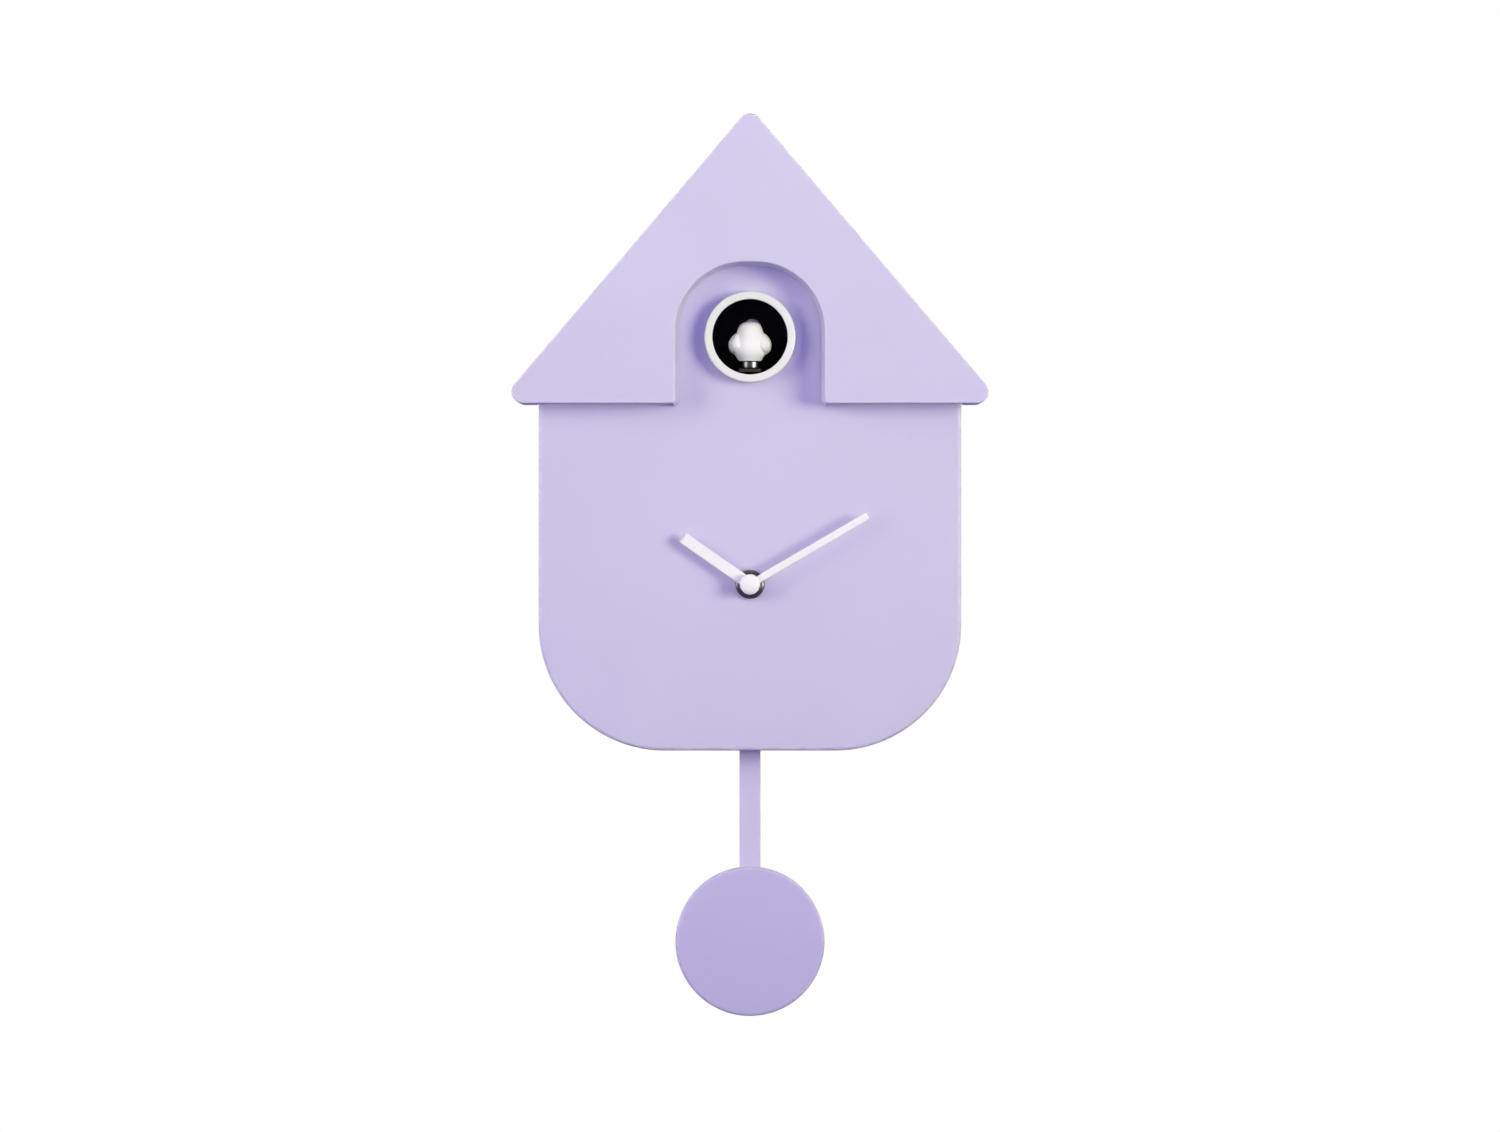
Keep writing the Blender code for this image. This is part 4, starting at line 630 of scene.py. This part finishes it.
def make_body():
    """The casing: a flat face from the window's edge to the outline, rolled over and drawn back.

    Face rows blend from a circle round the window to the outline: each outline point is paired with
    the circle point in its own direction from the window's centre.
    """
    radii = [BODY_CORNER, BODY_CORNER, 3 * MM, 3 * MM, 3 * MM]

    def outline(inset):
        return rounded_outline(house_corners(), radii, inset, arc=64, straight=48)

    edge = outline(0)
    centre = np.array([0, WINDOW])
    towards = edge - centre
    towards /= np.linalg.norm(towards, axis=1, keepdims=True)
    hole = centre + towards * (RING_NECK + FIT)
    inset, setback = rounding(BODY_EDGE, 9)
    rim = outline(2.6 * MM)
    shares = np.linspace(0, 1, 9)
    rows = [flat_ring(hole * (1 - k) + rim * k, FACE) for k in shares]
    rows += [flat_ring(outline(i), FACE - s) for i, s in zip(inset, setback)]
    front = FACE - setback[-1]
    rows += [flat_ring(edge, front * (1 - k) + BODY_RIM * k) for k in shares[1:]]
    inner = outline(BODY_WALL)
    inside = FACE - BODY_WALL
    rows += [flat_ring(inner, inside * (1 - k) + BODY_RIM * k) for k in shares[::-1]]
    rows += [flat_ring(hole * (1 - k) + inner * k, inside) for k in shares[-2::-1]]
    points = np.stack(rows)
    # Mask for a painted highlight along the face's rounded edge, strongest half-way round.
    rub = np.zeros(points.shape[:2])
    first = len(shares)
    rub[first : first + len(inset)] = np.sin(np.linspace(0, np.pi, len(inset)))[:, None] * 0.5
    body = grid_piece("casing_body", points, wrap_rows=True, rub=rub)
    slot_low, slot_high = span("pendulum_rod", Y)
    reach = 17 * MM
    slot = block(
        "slot_cutter",
        (-reach, reach),
        (BODY_BOTTOM - 2 * MM, BODY_BOTTOM + 2 * BODY_WALL),
        (-slot_high - 4 * MM, -slot_low + 4 * MM),
    )
    low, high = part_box("light_sensor")
    centre_x, centre_y = (low[X] + high[X]) / 2, (low[Y] + high[Y]) / 2
    radius, above, below = 2.7 * MM, 6 * MM, -3 * MM
    bore = lathe(
        "sensor_cutter",
        [(0, above), (radius, above), (radius, below), (0, below)],
        upright(centre_x, centre_y, BODY_BOTTOM),
        32,
    )
    carved(body, slot, bore)
    return finished(body, "casing", "casing_lilac", LOOKS["casing_lilac"], "body_shell")


def block(name, width, height, depth):
    """A box between pairs of dial-frame limits."""
    x, z, d = (np.array(pair) for pair in (width, height, depth))
    ring = [(0, 0), (1, 0), (1, 1), (0, 1)]
    corners = np.array([(a, b, 0) for a, b in ring] + [(a, b, 1) for a, b in ring])
    points = place(x[corners[:, 0]], z[corners[:, 1]], d[corners[:, 2]])
    faces = [(0, 1, 2, 3), (4, 5, 6, 7), (0, 1, 5, 4), (1, 2, 6, 5), (2, 3, 7, 6), (3, 0, 4, 7)]
    return mesh_piece(name, points, faces)


# ---------------------------------------------------------------- turned pieces


def facing(x, z, depth=0.0):
    """Where a turned piece's axis stands out of the wall: its own height is the depth."""
    return lambda r, turn, height: place(x + r * np.cos(turn), z + r * np.sin(turn), depth + height)


def upright(x, y, z):
    """Where a turned piece's axis stands up: its own height is Z."""

    def put(r, turn, height):
        r, turn, height = np.broadcast_arrays(r, turn, height)
        return np.stack([x + r * np.cos(turn), y + r * np.sin(turn), z + height], axis=-1)

    return put


def lathe(name, profile, put, around=96, closed=False, **values):
    """A profile of (radius, height) turned about its axis: point (i, t) is radius i at the angle t."""
    profile = np.asarray(profile, float)
    turn = np.linspace(0, 2 * np.pi, around, endpoint=False)[None, :]
    points = put(profile[:, :1], turn, profile[:, 1:])
    return grid_piece(name, points, wrap_rows=closed, **values)


def arc(centre, radius, start, end, steps=7):
    """Profile points on an arc, its angles in degrees from the outward radius."""
    turn = np.radians(np.linspace(start, end, steps))
    return [
        (centre[0] + radius * math.cos(t), centre[1] + radius * math.sin(t)) for t in turn.tolist()
    ]


def make_window():
    """White ring with a rolled outer rim and a small inner lip, and a black liner in its bore."""
    low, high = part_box("window_ring")
    outer, front, seat = high[X], -low[Y], FACE + FIT
    inner = 17.0 * MM
    roll = 0.8 * MM
    profile = [
        (inner, front - 3 * MM),
        (inner, front - 0.5 * MM),
        *arc((inner + 0.5 * MM, front - 0.5 * MM), 0.5 * MM, 180, 90, 5),
        *arc((outer - roll, front - roll), roll, 90, 0, 10),
        (outer, seat),
        (RING_NECK, seat),
        (RING_NECK, -high[Y]),
        (inner, -high[Y]),
    ]
    ring = lathe("window_ring_look", profile, facing(0, WINDOW), 160, closed=True)
    finished(ring, "casing", "bezel_white", LOOKS["bezel_white"], "window_ring", angle=50)
    liner_radius = inner - 0.28 * MM
    profile = [
        (inner, front - 0.75 * MM),
        (liner_radius, front - 0.95 * MM),
        (liner_radius, -high[Y] + 0.2 * MM),
        (inner, -high[Y] + 0.2 * MM),
    ]
    liner = lathe("window_liner", profile, facing(0, WINDOW), 160, closed=True)
    finished(liner, "casing", "black_plastic", LOOKS["chamber_black"], angle=50)


def make_chamber():
    """The chamber keeps its CAD shape, in a deeper black than its slot's."""
    chamber = frame["nodes"]["bird_chamber"].data
    chamber.materials.clear()
    chamber.materials.append(LOOKS["chamber_black"])


# ---------------------------------------------------------------- bird


def make_bird():
    """The bird: breast and head turned from one profile, two folded wings, a beak and a tail fan.

    Breast and head: radius over height, flattened a little from front to back. A wing is an egg on its
    end, the beak a drooping cone, and the tail a rounded fan behind the head.
    """
    low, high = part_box("bird")
    foot, top = low[Z], high[Z]
    axis_y = middle("bird_perch", Y)
    heights = np.array([0, 0.4, 1.6, 3.1, 5.0, 7.0, 9.0, 10.6, 12.0, 13.4, 14.8, 16.0, 17.0, 17.55, 17.7])
    radii = np.array([5.2, 5.4, 6.2, 7.1, 7.6, 7.7, 7.5, 6.9, 6.4, 5.9, 5.4, 4.75, 3.6, 2.1, 0])
    scale = (top - foot) / heights[-1]
    fine = np.linspace(0, len(heights) - 1, 90)
    radius = catmull(radii, fine)
    height = catmull(heights, fine)
    radius[-1] = 0
    radius = np.concatenate([[0], radius]) * scale
    height = np.concatenate([[0], height]) * scale
    turn = np.linspace(0, 2 * np.pi, 96, endpoint=False)[None, :]
    r, h = radius[:, None], height[:, None]
    forward = 1.0 - 0.06 * np.cos(turn) ** 2
    x = r * np.cos(turn) * np.ones_like(h)
    y = r * np.sin(turn) * forward
    points = np.stack([x, axis_y + y * 0.98, foot + h * np.ones_like(x)], axis=-1)
    breast = grid_piece("bird_breast", points)
    finished(breast, "bird_slide", "bird_white", LOOKS["bird_white"], "bird", angle=60)
    for side, label in ((-1, "left"), (1, "right")):
        wing = bird_wing(f"bird_wing_{label}", side, axis_y, foot)
        finished(wing, "bird_slide", "bird_white", LOOKS["bird_white"], angle=60)
    finished(bird_beak(axis_y, foot), "bird_slide", "bird_white", LOOKS["bird_white"], angle=60)
    finished(bird_tail(axis_y, foot), "bird_slide", "bird_white", LOOKS["bird_white"], angle=60)


def catmull(values, at):
    """A smooth curve through the values, one step apart: cubic, with slopes from the neighbours."""
    slopes = np.gradient(values)
    left = np.clip(np.floor(at).astype(int), 0, len(values) - 2)
    t = at - left
    a, b = values[left], values[left + 1]
    m, n = slopes[left], slopes[left + 1]
    return (
        a * (2 * t**3 - 3 * t**2 + 1)
        + m * (t**3 - 2 * t**2 + t)
        + b * (3 * t**2 - 2 * t**3)
        + n * (t**3 - t**2)
    )


def bird_wing(name, side, axis_y, foot):
    """An egg on its end, a little wider below its middle.

    Above the middle it draws in towards the body, and below it back, by the square of the height.
    """
    v = np.linspace(-np.pi / 2, np.pi / 2, 41)[:, None]
    u = np.linspace(0, 2 * np.pi, 64, endpoint=False)[None, :]
    up = np.sin(v)
    width = np.cos(v) * (1 - 0.16 * up)
    x = 6.2 * MM + 3.5 * MM * width * np.cos(u) - 1.2 * MM * up**2 * (up > 0)
    y = -0.4 * MM + 6.2 * MM * width * np.sin(u) + 1.6 * MM * up**2 * (up < 0)
    z = 7.8 * MM + 5.1 * MM * up
    points = np.stack([side * x, axis_y + y, foot + z * np.ones_like(x)], axis=-1)
    return grid_piece(name, points)


def bird_beak(axis_y, foot):
    """A short cone that points forwards and droops: its rings shrink and sink evenly to the tip."""
    t = np.linspace(0, 1, 24)[:, None]
    u = np.linspace(0, 2 * np.pi, 40, endpoint=False)[None, :]
    radius = 2.9 * MM * (1 - t)
    x = radius * np.cos(u)
    z = 12.2 * MM + 0.9 * radius * np.sin(u) - 3.0 * MM * t
    y = -4.4 * MM - 2.6 * MM * t * np.ones_like(x)
    return grid_piece("bird_beak", np.stack([x, axis_y + y, foot + z], axis=-1))


def bird_tail(axis_y, foot):
    """A raised fan: a flat egg that leans back behind the head."""
    v = np.linspace(-np.pi / 2, np.pi / 2, 33)[:, None]
    u = np.linspace(0, 2 * np.pi, 56, endpoint=False)[None, :]
    up, width = np.sin(v), np.cos(v)
    x = 1.0 * MM + 4.7 * MM * width**0.8 * np.cos(u)
    y = 6.5 * MM + 1.3 * MM * width * np.sin(u) + 3.0 * MM * (up + 1)
    z = 11.6 * MM + 7.6 * MM * up
    return grid_piece("bird_tail", np.stack([x, axis_y + y, foot + z * np.ones_like(x)], axis=-1))


def make_perch():
    low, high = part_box("bird_perch")
    radius = (high[X] - low[X]) / 2
    tall = high[Z] - low[Z]
    soft = 0.25 * MM
    profile = [
        (0, tall),
        (radius - soft, tall),
        *arc((radius - soft, tall - soft), soft, 90, 0, 5),
        *arc((radius - soft, soft), soft, 0, -90, 5),
        (0, 0),
    ]
    put = upright(0, (low[Y] + high[Y]) / 2, low[Z])
    perch = lathe("perch", profile, put, 96)
    finished(perch, "bird_slide", "dark_chrome", LOOKS["dark_chrome"], "bird_perch", angle=50)


# ---------------------------------------------------------------- hands


def hand(name, node, length, width, hub, clockwise, body):
    """A straight hand: the outline of a bar with a round hub, rolled over at its front edge."""
    low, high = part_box(node)
    back, front = -high[Y], -low[Y]
    half = width / 2
    square = 0.25 * MM
    lift = math.sqrt(hub**2 - half**2)
    start = math.asin(half / hub)
    turn = np.linspace(np.pi / 2 + start, 2.5 * np.pi - start, 60)
    ring = np.stack([hub * np.cos(turn), hub * np.sin(turn)], -1)
    run = np.linspace(0, 1, 30)[1:-1, None]
    right = np.array([half, lift]) * (1 - run) + np.array([half, length - square]) * run
    left = np.array([-half, length - square]) * (1 - run) + np.array([-half, lift]) * run
    tip_turn = np.linspace(0, np.pi / 2, 6)
    tip = [half - square, length - square] + square * np.stack([np.cos(tip_turn), np.sin(tip_turn)], -1)
    other = tip[::-1] * [-1, 1]
    outline = np.concatenate([ring, right, tip, other, left])
    tangent = np.roll(outline, -1, 0) - np.roll(outline, 1, 0)
    normal = np.stack([tangent[:, 1], -tangent[:, 0]], -1)
    normal /= np.linalg.norm(normal, axis=1, keepdims=True)
    spin = np.array(
        [
            [math.cos(clockwise), math.sin(clockwise)],
            [-math.sin(clockwise), math.cos(clockwise)],
        ]
    )
    outline, normal = outline @ spin.T, normal @ spin.T
    inset, setback = rounding(0.18 * MM, 5)
    rows = [
        (outline - normal * 0.5 * MM, front),
        *((outline - normal * i, front - s) for i, s in zip(inset, setback)),
        (outline, back),
        (outline - normal * 0.5 * MM, back),
    ]
    points = np.stack([place(p[:, 0], ARBOR + p[:, 1], d) for p, d in rows])
    piece = capped_piece(name, points)
    return finished(piece, body, "hand_white", LOOKS["hand_white"], node, angle=50)


def make_hands():
    shown_hour, shown_minute = 10, 9.95
    hour = math.radians(30 * (shown_hour + shown_minute / 60))
    minute = math.radians(6 * shown_minute)
    hand(
        "hour_hand_look", "hour_hand",
        length=37.3 * MM, width=5.1 * MM, hub=4.3 * MM, clockwise=hour, body="hour_works",
    )
    hand(
        "minute_hand_look", "minute_hand",
        length=62.3 * MM, width=3.15 * MM, hub=4.0 * MM, clockwise=minute, body="minute_works",
    )
    low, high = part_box("hand_cap")
    radius, back, front = high[X], -high[Y], -low[Y]
    crown = 1.7 * MM
    t = np.linspace(0, np.pi / 2, 14)
    dome = np.stack([radius * np.sin(t) ** 0.9, front - crown * (1 - np.cos(t))], -1)
    profile = [*dome.tolist(), (radius, back), (1.8 * MM, back), (1.8 * MM, back + MM), (0, back + MM)]
    cap = lathe("hand_cap_look", profile, facing(0, ARBOR), 96)
    finished(cap, "minute_works", "hand_white", LOOKS["hand_white"], "hand_cap", angle=50)
    low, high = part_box("hand_nut")
    radius, back, front = high[X], -high[Y], -low[Y]
    bore = 4.3 * MM
    roll = (radius - bore) / 2
    crown = [(bore + roll - roll * math.cos(t), front - roll * (1 - math.sin(t))) for t in
             np.linspace(0, math.pi, 24).tolist()]
    profile = [*crown, (radius, back), (bore, back)]
    nut = lathe("hand_nut_look", profile, facing(0, ARBOR), 128, closed=True)
    finished(nut, "casing", "dark_chrome", LOOKS["dark_chrome"], "hand_nut", angle=50)


# ---------------------------------------------------------------- pendulum


def make_pendulum():
    low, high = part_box("pendulum_rod")
    corners = [(low[X], low[Z]), (high[X], low[Z]), (high[X], high[Z]), (low[X], high[Z])]
    inset, setback = rounding(0.45 * MM, 6)
    front, back = -low[Y], -high[Y]
    insets = np.concatenate([[1.2 * MM], inset, inset[::-1], [1.2 * MM]])
    depth = np.concatenate([[front], front - setback, back + setback[::-1], [back]])
    rings = [rounded_outline(corners, [1.3 * MM] * 4, i, arc=8, straight=60) for i in insets]
    points = np.stack([flat_ring(ring, d) for ring, d in zip(rings, depth)])
    rod = capped_piece("rod_look", points)
    # The rod wears the lighter lilac, painted light against the casing's shade.
    finished(rod, "pendulum", "pendulum_lilac", LOOKS["rod_lilac_painted_lighter"], "pendulum_rod")
    low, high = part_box("pendulum_bob")
    radius, front, back = high[X], -low[Y], -high[Y]
    roll = 1.5 * MM
    wall = 1.8 * MM
    flat = [(0, front), *[(k, front) for k in np.linspace(3 * MM, radius - roll - 0.4 * MM, 8)]]
    profile = [
        *flat,
        *arc((radius - roll, front - roll), roll, 90, 0, 10),
        (radius, back + 0.4 * MM),
        (radius - 0.4 * MM, back),
        (radius - wall, back),
        (radius - wall, front - wall),
        (0, front - wall),
    ]
    # Mask for a painted highlight along the bob's rolled rim.
    rub = np.array([0.0] * len(profile))
    rub[len(flat) : len(flat) + 10] = np.sin(np.linspace(0, np.pi, 10)) * 0.5
    bob = lathe("bob_look", profile, facing(0, BOB), 192, rub=np.repeat(rub[:, None], 192, 1))
    rod_low, rod_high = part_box("pendulum_rod")
    mouth = block(
        "mouth_cutter",
        (rod_low[X] - FIT, rod_high[X] + FIT),
        (BOB + radius / 2, BOB + radius + MM),
        (back - MM, -rod_low[Y] + FIT),
    )
    carved(bob, mouth)
    finished(bob, "pendulum", "pendulum_lilac", LOOKS["pendulum_lilac"], "pendulum_bob")


# ---------------------------------------------------------------- stage, lights and camera


def make_stage():
    """A pale floor well below the clock: white to the camera, pale grey to the light."""
    look = bpy.data.materials.new("pale_floor")
    look.use_nodes = True
    tree = look.node_tree
    shader = tree.nodes["Principled BSDF"]
    shader.inputs["Base Color"].default_value = (0.8, 0.8, 0.8, 1)
    shader.inputs["Roughness"].default_value = 0.9
    glow = tree.nodes.new("ShaderNodeEmission")
    path = tree.nodes.new("ShaderNodeLightPath")
    mix = tree.nodes.new("ShaderNodeMixShader")
    tree.links.new(path.outputs["Is Camera Ray"], mix.inputs[0])
    tree.links.new(shader.outputs[0], mix.inputs[1])
    tree.links.new(glow.outputs[0], mix.inputs[2])
    tree.links.new(mix.outputs[0], tree.nodes["Material Output"].inputs["Surface"])
    half, level = 6.0, -1.4
    corners = [(-half, -half), (half, -half), (half, half), (-half, half)]
    points = np.array([(x, y, level) for x, y in corners])
    floor = mesh_piece("floor", points, [(0, 1, 2, 3)])
    floor.data.materials.append(look)


def make_world():
    """White where the camera looks, pale grey in reflections, and a faint violet ambient light."""
    world = bpy.data.worlds.new("studio")
    bpy.context.scene.world = world
    world.use_nodes = True
    tree = world.node_tree
    path = tree.nodes.new("ShaderNodeLightPath")
    last = tree.nodes["Background"]
    last.inputs["Color"].default_value = (0.28, 0.13, 1.0, 1)
    last.inputs["Strength"].default_value = 0.2
    for rays, strength in (("Is Glossy Ray", 0.35), ("Is Camera Ray", 1.0)):
        seen = tree.nodes.new("ShaderNodeBackground")
        seen.inputs["Color"].default_value = (1, 1, 1, 1)
        seen.inputs["Strength"].default_value = strength
        mix = tree.nodes.new("ShaderNodeMixShader")
        tree.links.new(path.outputs[rays], mix.inputs[0])
        tree.links.new(last.outputs[0], mix.inputs[1])
        tree.links.new(seen.outputs[0], mix.inputs[2])
        last = mix
    tree.links.new(last.outputs[0], tree.nodes["World Output"].inputs["Surface"])


def soft_light(name, spot, aim, width, height, power, colour, beam):
    lamp = bpy.data.lights.new(name, "AREA")
    lamp.spread = math.radians(beam)
    lamp.shape = "RECTANGLE"
    lamp.size, lamp.size_y = width, height
    lamp.energy = power
    lamp.color = colour
    obj = bpy.data.objects.new(name, lamp)
    bpy.context.scene.collection.objects.link(obj)
    obj.location = spot
    obj.rotation_euler = (Vector(aim) - Vector(spot)).to_track_quat("-Z", "Y").to_euler()
    return obj


def make_lights():
    """Two soft keys, the right one stronger, a soft fill from the left, lights along the rims and
    behind, and a violet fill from the front that doesn't show in reflections.
    """
    warm, violet = (1.0, 1.0, 0.66), (0.28, 0.16, 1.0)
    aim = (0, -0.05, 0.04)
    soft_light("key_right", (1.3, -1.4, 0.1), aim, 0.9, 0.9, 2.98, warm, 51)
    soft_light("key_left", (-1.3, -1.4, 0.1), aim, 0.9, 0.9, 1.0, warm, 51)
    soft_light("fill_left", (-1.2, -1.3, 0.75), aim, 0.9, 0.9, 0.7, warm, 51)
    soft_light("rim_top", (0, -0.75, 1.5), aim, 1.6, 0.5, 0.5, (1, 1, 1), 60)
    soft_light("rim_low", (0, -0.9, -1.5), (0, -0.05, -0.1), 1.6, 0.5, 0.8, (0.8, 0.7, 1), 60)
    soft_light("rim_left", (-1.6, -0.3, 0.1), aim, 0.9, 0.9, 1.2, (0.95, 0.85, 1), 60)
    soft_light("back_right", (1.1, 1.5, 0.35), (0, 0, -0.12), 1.0, 1.0, 2.6, (1, 1, 0.93), 60)
    soft_light("back_left", (-1.1, 1.5, 0.35), (0, 0, -0.12), 1.0, 1.0, 2.0, (1, 1, 0.93), 60)
    front = soft_light("fill_front", (0, -2.6, 0.1), aim, 1.8, 1.2, 2.12, violet, 60)
    front.visible_glossy = False


def make_camera():
    """Straight on, level with the middle of the clock's height, from far off through a long lens."""
    data = bpy.data.cameras.new("camera")
    data.sensor_fit = "HORIZONTAL"
    data.sensor_width = 36
    distance, level, width = 7.0, -0.1537, 0.6761
    data.lens = data.sensor_width * (distance - ROOF_FRONT) / width
    camera = bpy.data.objects.new("camera", data)
    bpy.context.scene.collection.objects.link(camera)
    camera.location = (0.0, -distance, level)
    camera.rotation_euler = (math.pi / 2, 0, 0)
    bpy.context.scene.camera = camera


bpy.context.scene.view_settings.view_transform = "Standard"
dress_cad_nodes()
make_roof()
make_body()
make_window()
make_chamber()
make_bird()
make_perch()
make_hands()
make_pendulum()
make_stage()
make_world()
make_lights()
make_camera()
